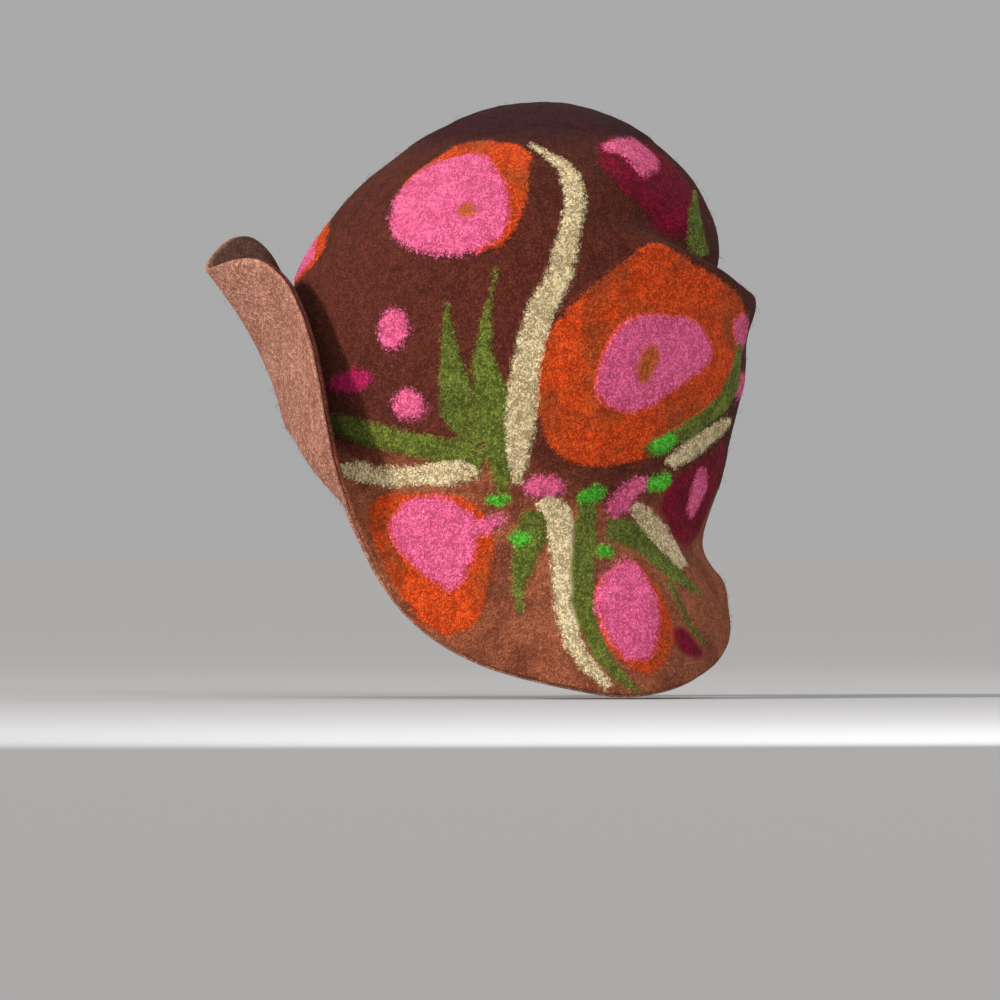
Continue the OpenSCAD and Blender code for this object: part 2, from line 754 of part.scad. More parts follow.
outer_felt_layer();
inner_felt_layer();
sweatband();
sweatband_stitches();
crown_flower_petals();
crown_flower_pink();
crown_flower_centre();
front_flower_petals();
front_flower_pink();
dot_upper();
dot_lower();
dot_shadow();
top_patch();
back_crown_petals();
back_crown_pink();
back_blade();
crown_stem();
big_flower_petals();
big_flower_pink();
big_flower_centre();
back_bud_upper();
back_bud_lower();
back_vine();
right_stem();
burgundy_leaf();
burgundy_leaf_pink();
lower_right_stem();
right_leaf();
branch();
bud_centre();
bud_right();
bud_left();
lime_dots();
blade_left();
blade_right();
left_band();
left_stem();
lower_left_petals();
lower_left_pink();
small_leaf();
lower_stem();
lower_vine();
lower_right_petals();
lower_right_pink();
burgundy_petal();
far_crown_petals();
far_crown_pink();
far_big_petals();
far_big_pink();
far_big_centre();
far_stem();
far_blade();
far_band();
far_lower_petals();
far_lower_pink();
far_lower_stem();
far_lower_leaf();
far_buds();
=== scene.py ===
"""Looks of the felt cloche: two felt layers, felted-in flowers and leaves, a ribbon inside.

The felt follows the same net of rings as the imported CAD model. Lengths here are in
millimetres until a mesh is made, and meshes are in metres.
"""
import bpy
import numpy as np
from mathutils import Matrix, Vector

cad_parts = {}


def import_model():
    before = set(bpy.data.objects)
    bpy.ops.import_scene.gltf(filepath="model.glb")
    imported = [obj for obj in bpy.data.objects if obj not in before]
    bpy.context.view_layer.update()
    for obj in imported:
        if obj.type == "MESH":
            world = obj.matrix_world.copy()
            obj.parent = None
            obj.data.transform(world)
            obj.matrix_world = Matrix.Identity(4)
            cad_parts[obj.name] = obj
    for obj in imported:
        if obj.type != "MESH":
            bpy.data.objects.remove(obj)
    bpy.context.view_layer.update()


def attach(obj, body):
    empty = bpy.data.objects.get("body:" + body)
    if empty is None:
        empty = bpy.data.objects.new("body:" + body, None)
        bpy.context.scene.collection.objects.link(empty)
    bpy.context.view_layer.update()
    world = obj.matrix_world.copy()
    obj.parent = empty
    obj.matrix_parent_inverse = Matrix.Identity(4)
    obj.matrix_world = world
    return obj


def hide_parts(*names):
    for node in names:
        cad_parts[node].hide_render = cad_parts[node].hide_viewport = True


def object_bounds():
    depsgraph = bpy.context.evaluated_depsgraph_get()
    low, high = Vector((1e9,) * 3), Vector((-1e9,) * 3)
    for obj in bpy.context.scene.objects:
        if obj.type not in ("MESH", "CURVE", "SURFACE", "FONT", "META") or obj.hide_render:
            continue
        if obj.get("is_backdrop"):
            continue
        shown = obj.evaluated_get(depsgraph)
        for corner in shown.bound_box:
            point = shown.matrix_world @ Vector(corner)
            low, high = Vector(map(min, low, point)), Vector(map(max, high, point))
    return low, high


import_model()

MM = 0.001

# ---- The felt's net of rings, as in the CAD model ----

STATIONS = 24  # round the hat, from the front past the wearer's left
BACK = STATIONS // 2
CROWN_TOP = (21, 176.2)
# Crown rings: front y and z, half width and z at the sides, back y and z.
CROWN_RINGS = [
    (-15, 169, 35, 168, 58, 169), (-46, 151, 62, 150, 85, 150), (-69, 132, 77, 130, 99, 133),
    (-85, 110, 86, 108, 107, 113), (-95, 92, 89, 86, 113, 94), (-99, 74, 91, 62, 119, 73),
    (-99, 57, 91.5, 36, 121, 50), (-97, 45, 90.5, 12, 114, 20), (-94, 37, 89, -8, 108, -10),
    (-92, 29, 88, -26, 98, -36),
]
# x, y, z of the ring where the brim leaves the crown, and of the brim's edge, front to back.
# The right side's points mirror x and leave out the two ends.
FOLD_LEFT = [
    (0, -97, 21), (32, -92, 15), (56, -86, 3), (69, -75, -9), (79, -57, -20), (89, -32, -41),
    (96, 4, -57), (98, 38, -62), (90, 66, -64), (76, 86, -62), (55, 100, -58), (28, 108, -54),
    (0, 110, -52),
]
FOLD_RIGHT = [
    *FOLD_LEFT[1:3], (69, -75, -8), (79, -57, -19), (89, -32, -40), *FOLD_LEFT[6:-1]]
RIM_LEFT = [
    (0, -136, 94), (30, -112, 102), (62, -88, 74), (84, -77, 14), (92, -62, -30),
    (99, -41, -68), (108, -4, -91), (113, 34, -100.5), (107, 64, -105.5), (89, 90, -100.5),
    (62, 105, -92), (32, 112, -82), (0, 113, -74),
]
RIM_RIGHT = [
    (32, -122, 112), (60, -101, 95), (84, -76, 20), (92, -60, -26), (99, -41, -63),
    (108, -4, -89), (113, 34, -100), (107, 64, -106), (89, 90, -100), (62, 105, -91),
    (32, 112, -81),
]
# How far the flap's middle leans to the crown at the front, and over how many stations.
FLAP_HUG, FLAP_HUG_STATIONS = 8, 3
# The tuck across the back: degrees either side of the back, the share of them in which it
# fades, how far its lip stands out and its valley goes in, and how far it drops.
TUCK_SPAN, TUCK_FADE, TUCK_LIP, TUCK_VALLEY, TUCK_DROP = 76, 0.75, 8, 7, 5
# Its height at the back, its rise within so many degrees of the back, and its own size.
TUCK_HEIGHT, TUCK_RISE, TUCK_RISEN, TUCK_SIZE = 84, 28, 60, 10
# Where its lip, valley, raised felt and lowered felt are, in sizes from its line.
LIP_AT, VALLEY_AT, RAISED_AT, LOWERED_AT = -0.6, 0.9, -0.3, 1.1
OUTER_THICKNESS = 2.2
INNER_THICKNESS = 2.3
MOTIF_HEIGHT = 0.45
NORMAL_STEP = 0.03


def eased(x):
    x = np.clip(x, 0, 1)
    return x * x * (3 - 2 * x)


def bell(x):
    return np.exp(-x * x)


def norm(vectors):
    return np.linalg.norm(vectors, axis=-1)


def unit(vectors):
    return vectors / norm(vectors)[..., None]


def run_along(points):
    """Distance from the first point to each point."""
    return np.concatenate([[0], np.cumsum(norm(np.diff(points, axis=0)))])


def whole_ring(left, right):
    mirrored = [(-x, y, z) for x, y, z in reversed(right)]
    return np.array(left + mirrored, float)


def crown_ring(ring):
    front_y, front_z, half_width, side_z, back_y, back_z = ring
    angle = np.arange(STATIONS) * 2 * np.pi / STATIONS
    c, s = np.cos(angle), np.sin(angle)
    end_z = np.where(c > 0, front_z, back_z)
    y = (front_y + back_y) / 2 - (back_y - front_y) / 2 * c
    return np.stack([half_width * s, y, side_z * s * s + end_z * c * c], -1)


def net_of_rings():
    top = np.tile((0.0, *CROWN_TOP), (STATIONS, 1))
    fold, rim = whole_ring(FOLD_LEFT, FOLD_RIGHT), whole_ring(RIM_LEFT, RIM_RIGHT)
    flap = (fold + rim) / 2
    from_front = np.minimum(np.arange(STATIONS), STATIONS - np.arange(STATIONS))
    flap[:, 1] += FLAP_HUG * np.clip(1 - from_front / FLAP_HUG_STATIONS, 0, 1)
    return np.array([top, *map(crown_ring, CROWN_RINGS), fold, flap, rim])


def control_net():
    """Control points of a cubic spline that passes close to the net's points."""
    net = net_of_rings()
    around = (8 * net - np.roll(net, 1, 1) - np.roll(net, -1, 1)) / 6
    around[0] = net[0]
    down = around.copy()
    above = np.concatenate([np.roll(around[1], BACK, 0)[None], around[:-2]])
    down[:-1] = (8 * around[:-1] - above - around[1:]) / 6
    down[0] = down[0].mean(0)
    past_rim = 2 * down[-1] - down[-2]
    return np.concatenate([np.roll(down[1], BACK, 0)[None], down, past_rim[None]])


NET = control_net()
RIM = len(NET) - 3


def weights(f):
    """Shares of four control points at a place f between the middle two."""
    second, third = 3 * f**3 - 6 * f**2 + 4, -3 * f**3 + 3 * f**2 + 3 * f + 1
    return np.stack([(1 - f) ** 3, second, third, f**3], -1) / 6


def felt(u, t):
    """The outer face at station u (0 front, 6 left, 12 back) and ring t (0 top, RIM the edge)."""
    u, t = np.broadcast_arrays(np.asarray(u, float), np.clip(np.asarray(t, float), 0, RIM))
    i, k = np.minimum(np.floor(t).astype(int), RIM - 1), np.floor(u).astype(int)
    down, around = weights(t - i), weights(u - k)
    p = np.zeros(u.shape + (3,))
    for a in range(4):
        for b in range(4):
            share = (down[..., a] * around[..., b])[..., None]
            p += share * NET[i + a, (k + b - 1) % STATIONS]
    angle = u * 360 / STATIONS
    off = np.abs(angle % 360 - 180)
    amount = eased((TUCK_SPAN - off) / (TUCK_SPAN * TUCK_FADE))
    rise = 1 - np.cos(np.radians(180 / TUCK_RISEN * np.minimum(off, TUCK_RISEN)))
    h = (p[..., 2] - (TUCK_HEIGHT + TUCK_RISE * rise / 2)) / TUCK_SIZE
    out = amount * (TUCK_LIP * bell(h - LIP_AT) - TUCK_VALLEY * bell(h - VALLEY_AT))
    up = amount * TUCK_DROP * (bell(h - RAISED_AT) - bell(h - LOWERED_AT))
    a = np.radians(angle)
    return p + np.stack([out * np.sin(a), -out * np.cos(a), up], -1)


def felt_normal(u, t):
    u, t = np.asarray(u, float), np.clip(np.asarray(t, float), 2 * NORMAL_STEP, RIM)
    along = felt(u, np.minimum(t + NORMAL_STEP, RIM)) - felt(u, t - NORMAL_STEP)
    across = felt(u + NORMAL_STEP, t) - felt(u - NORMAL_STEP, t)
    return unit(np.cross(along, across))


# ---- Noise on points in space ----

LATTICE = 32
SEED_SHIFT = 11.3
# Height, size of the features in mm, and seed.
RELIEF = [(0.55, 21, 1), (0.3, 9, 2), (0.12, 4, 3)]
RAGGED_EDGE = [(0.9, 5, 5), (0.5, 2.2, 6)]
BROWN_DRIFT = [(5, 30, 7), (3, 11, 8)]
BROWN_MOTTLE = [(0.9, 13, 10), (0.5, 5, 12)]


def noise(points, size, seed):
    """Smooth values from -1 to 1 whose features are about size mm across."""
    values = np.random.default_rng(seed).uniform(-1, 1, (LATTICE,) * 3)
    q = points / size + SEED_SHIFT * seed
    i = np.floor(q).astype(int)
    f = eased(q - i)
    total = 0
    for corner in np.ndindex(2, 2, 2):
        share = np.prod(np.where(corner, f, 1 - f), axis=-1)
        j = (i + corner) % LATTICE
        total = total + share * values[j[..., 0], j[..., 1], j[..., 2]]
    return total


def uneven(points, layers, level=0):
    """A level with layers of noise added to it."""
    return sum((height * noise(points, size, seed) for height, size, seed in layers), level)


def relief(points):
    """The felt's own unevenness, from hand felting."""
    return uneven(points, RELIEF)


# ---- Colours ----


def linear(code):
    """Linear colour from a hexadecimal sRGB one."""
    c = np.array([int(code[k : k + 2], 16) for k in (1, 3, 5)]) / 255
    return np.where(c <= 0.04045, c / 12.92, ((c + 0.055) / 1.055) ** 2.4)


def rgba(code):
    return (*linear(code), 1.0)


DARK_BROWN = "#643024"
DEEP_BROWN = "#2e0f0c"
CHESTNUT = "#a25e40"
AUBERGINE = "#2f0d18"
# a greyer brown, laid on towards the flap's front tip
GREYISH_BROWN = "#7c6252"
TERRACOTTA = "#b27a66"
PALE_TERRACOTTA = "#c48e78"
RIBBON_BROWNS = [(0.2, "#21130e"), (0.8, "#5a3728"), (0.5, "#3b231a")]
THREAD_BROWNS = [(0.3, "#4e3226"), (0.7, "#8a6048")]
# Each prefelt's own colour and stray fibres; a second tone washed into it, and its share;
# dark fibres, which also stand for painted shade in the felt's pits, and pale fibres; how far it
# shows past its cut edge, in mm, and how far it frays.
WOOL = {
    "orange": ("#e2501a", "#f68a40", "#a04c22", 1.0, "#6e1c0a", "#ffa258", 0.0, 1.0),
    "rust": ("#d0622c", "#b08040", "#8a6a2c", 0.5, "#5c2a14", "#e0a058", 0.9, 1.8),
    "pink": ("#f26c9c", "#ffb4c8", "#dc5688", 0.5, "#90304e", "#ffd8dc", 0.2, 1.9),
    "magenta": ("#c01e60", "#e4608f", "#7c1848", 0.4, "#60102c", "#ee88ac", 0.3, 2.0),
    "burgundy": ("#86082c", "#b22848", "#4a0818", 0.4, "#30020c", "#c83c58", 0.3, 1.8),
    # plum: the dark patch over the crown top, partly its own colour, partly painted shade
    "plum": ("#35101c", "#5a2030", "#4a1822", 0.3, "#140409", "#74303a", -0.6, 3.0),
    "green": ("#68742e", "#a2a452", "#7e9038", 0.6, "#24280c", "#c4c878", 0.8, 1.2),
    "lime": ("#58c838", "#a0ec60", "#2f8c24", 0.3, "#1e6414", "#d0f8a0", 0.9, 1.7),
    "cream": ("#e6d4a8", "#fff8e0", "#cdb88a", 0.4, "#6a5434", "#fffcf0", 0.9, 1.2),
}

# ---- Motifs, as in the CAD model ----
# Outlines are in millimetres on an elevation of the hat: "left" and "right" are y, z;
# "front" and "back" are x, z. A strip's points also give its width.

OVAL_POINTS = 8


def oval(y, z, half_width, half_height, lean=0):
    a, r = np.arange(OVAL_POINTS) * 2 * np.pi / OVAL_POINTS, np.radians(lean)
    x, up = half_width * np.cos(a), half_height * np.sin(a)
    y, z = y + x * np.cos(r) - up * np.sin(r), z + x * np.sin(r) + up * np.cos(r)
    return list(zip(y, z))


# Name, colour, level, view and outlines.
BLOBS = [
    ("crown_flower_petals", "orange", 0, "left", [[
        (-43, 137), (-28, 149), (-13, 157), (3, 157), (16, 152), (17, 137), (13, 120), (5, 108),
        (-8, 104), (-28, 108), (-43, 120)]]),
    ("crown_flower_pink", "pink", 1, "left", [[
        (-51, 118), (-47, 132), (-34, 144), (-21, 149), (-6, 151), (4, 140), (8, 129), (6, 115),
        (-2, 107), (-14, 102), (-32, 102), (-45, 108)]]),
    ("crown_flower_centre", "rust", 2, "left", [oval(-13, 123, 4.5, 4)]),
    ("front_flower_petals", "orange", 0, "front", [oval(-4, 104, 34, 16)]),
    ("front_flower_pink", "pink", 1, "front", [oval(-4, 101, 27, 11)]),
    ("dot_upper", "pink", 0, "left", [oval(-48, 67, 8, 10.5, -10)]),
    ("dot_lower", "pink", 0, "left", [oval(-41, 31, 8.5, 8)]),
    ("dot_shadow", "magenta", 0, "left", [oval(-69, 42, 11.5, 6, 15)]),
    ("back_crown_petals", "burgundy", 0, "left", [[
        (49, 154), (61, 160), (75, 155), (88, 143), (96, 131), (94, 113),
        (81, 111), (69, 125), (53, 140)]]),
    ("back_crown_pink", "pink", 1, "left", [[
        (51, 154), (57, 158), (66, 158), (75, 152), (79, 145), (72, 138), (66, 144), (59, 150),
        (54, 151)]]),
    ("big_flower_petals", "orange", 0, "left", [[
        (76, 109), (59, 97), (41, 83), (27, 67), (20, 52), (20, 33), (24, 14), (34, 4),
        (52, 1), (71, 5), (94, 19), (108, 33), (115, 48), (119, 67), (119, 81), (108, 91),
        (92, 101)]]),
    ("big_flower_pink", "pink", 1, "left", [[
        (57, 66), (69, 74), (84, 74), (96, 71), (103, 60), (102, 51), (92, 42), (80, 33),
        (69, 28), (57, 28), (48, 36), (49, 50)]]),
    ("big_flower_centre", "rust", 2, "left", [[
        (70, 57), (74, 60), (78, 57), (77, 49), (72, 41), (68, 42), (67, 50)]]),
    ("back_bud_upper", "pink", 0, "back", [oval(20, 66, 12, 9, 20)]),
    ("back_bud_lower", "pink", 0, "back", [oval(13, 40, 11, 7, -10)]),
    ("burgundy_leaf", "burgundy", 0, "left", [[
        (78, -18), (86, -4), (99, 5), (108, 13), (110, 8), (107, -5), (101, -22), (95, -35),
        (88, -36), (81, -25)]]),
    ("burgundy_leaf_pink", "pink", 1, "left", [[
        (91, -20), (93, -11), (96, -1), (101, 1), (102, -7), (99, -15), (94, -24)]]),
    ("bud_centre", "pink", 1, "left", [[
        (13, -8), (18, -2), (27, -2), (34, -7), (32, -12), (24, -14), (17, -13)]]),
    ("bud_right", "pink", 1, "left", [[
        (53, -16), (58, -9), (68, -3), (73, -5), (69, -14), (62, -22), (54, -22)]]),
    ("bud_left", "pink", 2, "left", [[
        (-11, -28), (-6, -23), (1, -20), (6, -23), (2, -28), (-5, -32)]]),
    ("lime_dots", "lime", 2, "left", [
        oval(2, -14, 5.5, 3, 10), oval(46, -12, 7, 4, 20), oval(80, 12, 7, 4, 35),
        oval(79, -6, 6, 4, 30), oval(52, -39, 4.5, 3.5), oval(12, -33, 4.5, 3.5)]),
    ("lower_left_petals", "orange", 0, "left", [[
        (-54, -12), (-62, -24), (-58, -36), (-49, -54), (-38, -69), (-29, -77), (-20, -79),
        (-12, -76), (-5, -68), (-2, -53), (1, -36), (-6, -20), (-16, -13), (-36, -11)]]),
    ("lower_left_pink", "pink", 1, "left", [[
        (-44, -16), (-36, -12), (-26, -12), (-18, -15), (-10, -21), (-8, -30), (-9, -41),
        (-14, -52), (-21, -59), (-31, -53), (-41, -45), (-48, -36), (-51, -27)]]),
    ("lower_right_petals", "orange", 0, "left", [[
        (48, -58), (54, -49), (67, -43), (77, -55), (83, -67), (85, -80), (82, -91), (75, -98),
        (66, -96), (56, -88), (51, -78)]]),
    ("lower_right_pink", "pink", 1, "left", [[
        (47, -64), (51, -51), (57, -45), (67, -43), (77, -60), (79, -73), (75, -89), (62, -91),
        (52, -78)]]),
    ("burgundy_petal", "burgundy", 0, "left", [[
        (85, -76), (90, -75), (96, -81), (100, -87), (97, -91), (91, -88), (86, -83)]]),
    ("far_crown_petals", "orange", 0, "right", [oval(-18, 118, 33, 28, 20)]),
    ("far_crown_pink", "pink", 1, "right", [oval(-20, 119, 22, 18, 20)]),
    ("far_big_petals", "orange", 0, "right", [[
        (66, 88), (44, 82), (28, 66), (24, 42), (34, 20), (56, 12), (80, 20), (98, 38), (104, 60),
        (90, 80)]]),
    ("far_big_pink", "pink", 1, "right", [oval(65, 52, 26, 21, 25)]),
    ("far_big_centre", "rust", 2, "right", [oval(65, 52, 8, 5, 60)]),
    ("far_lower_petals", "orange", 0, "right", [oval(-22, -44, 31, 26, -25)]),
    ("far_lower_pink", "pink", 1, "right", [oval(-21, -42, 21, 17, -25)]),
    ("far_buds", "pink", 2, "right", [oval(24, -8, 9, 6, 10), oval(74, -14, 10, 6, 30)]),
]
# Name, colour, level, view and centre line with widths.
STRIPS = [
    ("back_blade", "green", 0, "left", [
        (96, 134, 1.5), (95.5, 122, 6), (96, 112, 8.5), (97, 103, 11)]),
    ("crown_stem", "cream", 1, "left", [
        (17, 155, 1.5), (26, 150, 3.5), (34, 143, 7), (38, 133, 9.5), (38, 125, 9.5),
        (36, 113, 10), (33, 101, 11), (29, 88, 11.5), (22, 76, 12), (18, 62, 13), (15, 48, 14),
        (13, 31, 14.5), (12, 17, 13.5), (11, 4, 9), (11, -6, 4)]),
    ("back_vine", "green", 1, "left", [
        (117, 60, 3), (115, 47, 6), (110, 34, 7.5), (102, 26, 8), (92, 19, 8), (81, 13, 8),
        (71, 8, 5)]),
    ("right_stem", "cream", 0, "left", [
        (84, 2, 5), (91, 8, 8), (99, 14, 8), (106, 19, 6.5), (112, 24, 3)]),
    ("lower_right_stem", "cream", 1, "left", [
        (66, -17, 6), (75, -26, 9), (81, -34, 9), (86, -41, 7), (90, -46, 5)]),
    ("right_leaf", "green", 0, "left", [
        (54, -28, 9), (64, -30, 12), (73, -37, 9.5), (81, -45, 7.5), (90, -53, 5.5),
        (98, -59, 2.5)]),
    ("branch", "green", 0, "left", [(83, -53, 2.5), (88, -64, 3), (93, -74, 2.5), (100, -82, 2)]),
    ("blade_left", "green", 0, "left", [
        (-23, 79, 1.5), (-22, 67, 5), (-21, 54, 9), (-19, 42, 14), (-17, 30, 17),
        (-12, 19, 14), (-8, 12, 7)]),
    ("blade_right", "green", 0, "left", [
        (1, 96, 1), (-3, 77, 3), (-5, 60, 7), (-4, 46, 13), (-1, 31, 17), (2, 15, 16),
        (4, 1, 11), (3, -10, 4)]),
    ("left_band", "green", 0, "left", [
        (-82, 23, 5), (-68, 20, 10), (-53, 15, 11), (-38, 12, 11.5), (-22, 9, 12), (-6, 4, 12)]),
    ("left_stem", "cream", 0, "left", [
        (-76, 0, 4), (-68, 0, 8), (-55, -3, 8.5), (-38, -3, 9), (-24, -2, 11.5), (-16, -1, 10),
        (-8, -2, 4)]),
    ("small_leaf", "green", 0, "left", [
        (19, -20, 9), (18, -29, 15), (15, -39, 12.5), (12, -53, 7.5), (12, -68, 2.5)]),
    ("lower_stem", "cream", 0, "left", [
        (23, -14, 8), (30, -22, 12.5), (32, -35, 12), (33, -49, 11), (34, -64, 10),
        (37, -79, 8.5), (42, -91, 6.5), (49, -97, 5), (54, -103, 3)]),
    ("lower_vine", "green", 0, "left", [
        (44, -16, 8), (43, -34, 11.5), (42, -49, 11), (42, -64, 9.5), (46, -78, 8),
        (53, -90, 7), (61, -100, 5), (70, -106, 2.5)]),
    ("far_stem", "cream", 1, "right", [
        (14, 152, 2), (24, 138, 5), (28, 118, 8), (22, 98, 10), (12, 78, 10), (6, 56, 11),
        (6, 32, 12), (10, 10, 9), (12, -6, 4)]),
    ("far_blade", "green", 0, "right", [
        (-34, 86, 1.5), (-30, 68, 6), (-27, 48, 12), (-22, 26, 15), (-14, 6, 9)]),
    ("far_band", "green", 0, "right", [
        (-80, 24, 3), (-60, 17, 8), (-36, 9, 9), (-12, 2, 11), (12, -6, 6)]),
    ("far_lower_stem", "cream", 0, "right", [
        (18, -14, 6), (26, -30, 10), (29, -52, 9), (35, -76, 7), (46, -96, 4)]),
    ("far_lower_leaf", "green", 0, "right", [
        (42, -16, 6), (50, -32, 11), (60, -50, 10), (72, -68, 7), (84, -84, 3)]),
]

# ---- Carrying an elevation's points onto the felt ----

VIEW_AXES = {"left": (1, 2), "right": (1, 2), "front": (0, 2), "back": (0, 2)}
VIEW_STATIONS = {
    "left": range(3, 11), "right": range(14, 22), "back": range(9, 16), "front": range(-3, 4)}
SEARCH_STEP = 0.04
SEARCH_DAMPING = 0.6
LARGEST_MOVE = 0.7
FIRST_TURNS, NEXT_TURNS = 14, 6
LEAST_RING = 0.3


def nearest(view, target):
    k, t = np.meshgrid(list(VIEW_STATIONS[view]), np.arange(1, RIM - 2), indexing="ij")
    gap = norm(felt(k, t)[..., VIEW_AXES[view]] - target)
    i = np.unravel_index(gap.argmin(), gap.shape)
    return np.array([k[i], t[i]], float)


def locate(view, target, guess, turns=FIRST_TURNS):
    """Station and ring of the point of the felt that the elevation shows at the target."""
    u, t = guess
    e = SEARCH_STEP
    for _ in range(turns):
        here, beside, below = felt([u, u + e, u], [t, t, t + e])[:, VIEW_AXES[view]]
        a, b, r = (beside - here) / e, (below - here) / e, target - here
        aa, bb, ab = a @ a + SEARCH_DAMPING, b @ b + SEARCH_DAMPING, a @ b
        det = aa * bb - ab * ab
        u += np.clip((a @ r * bb - b @ r * ab) / det, -LARGEST_MOVE, LARGEST_MOVE)
        down = np.clip((b @ r * aa - a @ r * ab) / det, -LARGEST_MOVE, LARGEST_MOVE)
        t = np.clip(t + down, LEAST_RING, RIM)
    return np.array([u, t])


def trace(view, targets, start):
    """Felt places of a row of targets, each looked for from the one before it."""
    found = [locate(view, targets[0], start)]
    for target in targets[1:]:
        found.append(locate(view, target, found[-1], NEXT_TURNS))
    return np.array(found)


# ---- Motif patches ----

GRAIN = 1.0  # spacing of a patch's points
MARGIN = np.array([0.8, 1.6, 2.4, 3.2])  # a patch reaches this far past its outline
BLOB_STEPS, STRIP_STEPS, FINE_STEPS = 3, 4, 40  # places on a curve for each of its points
LEAST_ALONG, LEAST_ACROSS, LEAST_RINGS = 6, 4, 5
LEAST_WIDTH = 1
FAR = -99.0  # stands for a place far outside an outline
NEAR_OUTLINE = 6.0
BATCH = 2000


def curve(points, at, closed):
    """A Catmull-Rom curve through the points, at the given places along it."""
    points = np.asarray(points, float)
    count = len(points)
    k = np.floor(at).astype(int)
    k = k if closed else np.minimum(k, count - 2)
    f = (at - k)[:, None]
    ids = [k - 1, k, k + 1, k + 2]
    p0, p1, p2, p3 = [points[i % count if closed else np.clip(i, 0, count - 1)] for i in ids]
    bend = 2 * p0 - 5 * p1 + 4 * p2 - p3 + f * (3 * (p1 - p2) + p3 - p0)
    return p1 + 0.5 * f * (p2 - p0 + f * bend)


def lengthwise(points, closed):
    """Places along a curve of felt points, about a grain apart."""
    spans = len(points) - (0 if closed else 1)
    fine = np.linspace(0, spans, FINE_STEPS * len(points) + 1)
    run = run_along(felt(*curve(points, fine, closed).T))
    n = max(int(round(run[-1] / GRAIN)), LEAST_ALONG)
    return np.interp(np.linspace(0, run[-1], n + 1), run, fine)


def grid_quads(rows, columns, closed, flip=False):
    spans = columns if closed else columns - 1
    i, k = np.meshgrid(np.arange(rows - 1), np.arange(spans), indexing="ij")
    here, below, across = i * columns, (i + 1) * columns, (k + 1) % columns
    quads = np.stack([here + k, below + k, below + across, here + across], -1).reshape(-1, 4)
    return quads[:, ::-1] if flip else quads


def blob_patch(view, outline):
    """A blob's centre, rings of felt places from it past the outline, and the outline."""
    count = len(outline)
    targets = curve(outline, np.linspace(0, count, BLOB_STEPS * count + 1)[:-1], True)
    middle = np.mean(outline, axis=0)
    centre = locate(view, middle, nearest(view, middle))
    traced = trace(view, targets, locate(view, targets[0], centre))
    edge = curve(traced, lengthwise(traced, True)[:-1], True)
    reach = norm(felt(*edge.T) - felt(*centre))
    rings = max(int(np.ceil(reach.max() / GRAIN)), LEAST_RINGS)
    f = np.arange(1, rings + 1)[:, None] / rings * np.ones(len(edge))
    f = np.concatenate([f, 1 + MARGIN[:, None] / reach])
    return centre, centre + f[..., None] * (edge - centre), edge


def strip_patch(view, line):
    """Rows of felt places across a strip, past its sides and ends, and its outline."""
    line = np.asarray(line, float)
    path = curve(line, np.linspace(0, len(line) - 1, STRIP_STEPS * len(line)), False)
    heading = unit(np.gradient(path[:, :2], axis=0))
    side = np.stack([-heading[:, 1], heading[:, 0]], -1)
    half = np.maximum(path[:, 2], LEAST_WIDTH)[:, None] / 2
    start = locate(view, path[0, :2], nearest(view, path[0, :2]))
    lines = [trace(view, path[:, :2] + s * half * side, start) for s in (1, 0, -1)]
    at = lengthwise(lines[1], False)
    left, middle, right = [curve(p, at, False) for p in lines]
    width = norm(felt(*left.T) - felt(*right.T))
    n = max(int(np.ceil(width.max() / GRAIN)), LEAST_ACROSS)
    within = np.linspace(-1, 1, n + 1)[:, None] * np.ones(len(at))
    over = MARGIN[:, None] / (width / 2)
    v = np.concatenate([-1 - over[::-1], within, 1 + over])[..., None]
    places = middle + v * (left - right) / 2 + v * v * ((left + right) / 2 - middle)
    gap = norm(felt(*middle[1]) - felt(*middle[0]))
    before = places[:, :1] - (places[:, 1:2] - places[:, :1]) * MARGIN[::-1, None] / gap
    gap = norm(felt(*middle[-1]) - felt(*middle[-2]))
    after = places[:, -1:] + (places[:, -1:] - places[:, -2:-1]) * MARGIN[:, None] / gap
    outline = np.concatenate([left, right[::-1]])
    return np.concatenate([before, places, after], axis=1), outline


def inside(places, outline):
    """Even-odd test of felt places against an outline of felt places."""
    turns = np.round((outline[:, 0].mean() - places[:, 0]) / STATIONS)
    u, t = places[:, 0] + STATIONS * turns, places[:, 1]
    within = np.zeros(len(places), bool)
    for (u0, t0), (u1, t1) in zip(outline, np.roll(outline, -1, axis=0)):
        if t0 == t1:
            continue
        crossing = (t0 > t) != (t1 > t)
        within ^= crossing & (u < (u1 - u0) * (t - t0) / (t1 - t0) + u0)
    return within


def depth_within(outline, places, points):
    """Distance inside an outline, in mm; negative outside, and FAR away from it."""
    edge = felt(*outline.T)
    low, high = edge.min(0) - NEAR_OUTLINE, edge.max(0) + NEAR_OUTLINE
    near = np.flatnonzero(((points > low) & (points < high)).all(1))
    depth = np.full(len(points), FAR)
    for part in np.array_split(near, max(len(near) // BATCH, 1)):
        gap = norm(points[part, None] - edge[None]).min(1)
        depth[part] = np.where(inside(places[part], outline), gap, -gap)
    return depth


# Depths inside an outline, in mm: where a prefelt's colour starts to show and the run to
# full colour, and the same for its height and for the thickness of its own mesh.
SHOWS_FROM, SHOWS_RUN = -1.2, 2.0
RISES_FROM, RISES_RUN = -0.4, 2.4
THICKENS_FROM, THICKENS_RUN = -3.5, 3


def ragged(depth, points):
    """The outline's depth made uneven, as fibres felt over it."""
    return uneven(points, RAGGED_EDGE, depth)


def cover(depth):
    """How much of a prefelt's colour shows at a depth inside its outline."""
    return eased((depth - SHOWS_FROM) / SHOWS_RUN)


def raised(depth):
    return MOTIF_HEIGHT * eased((depth - RISES_FROM) / RISES_RUN)
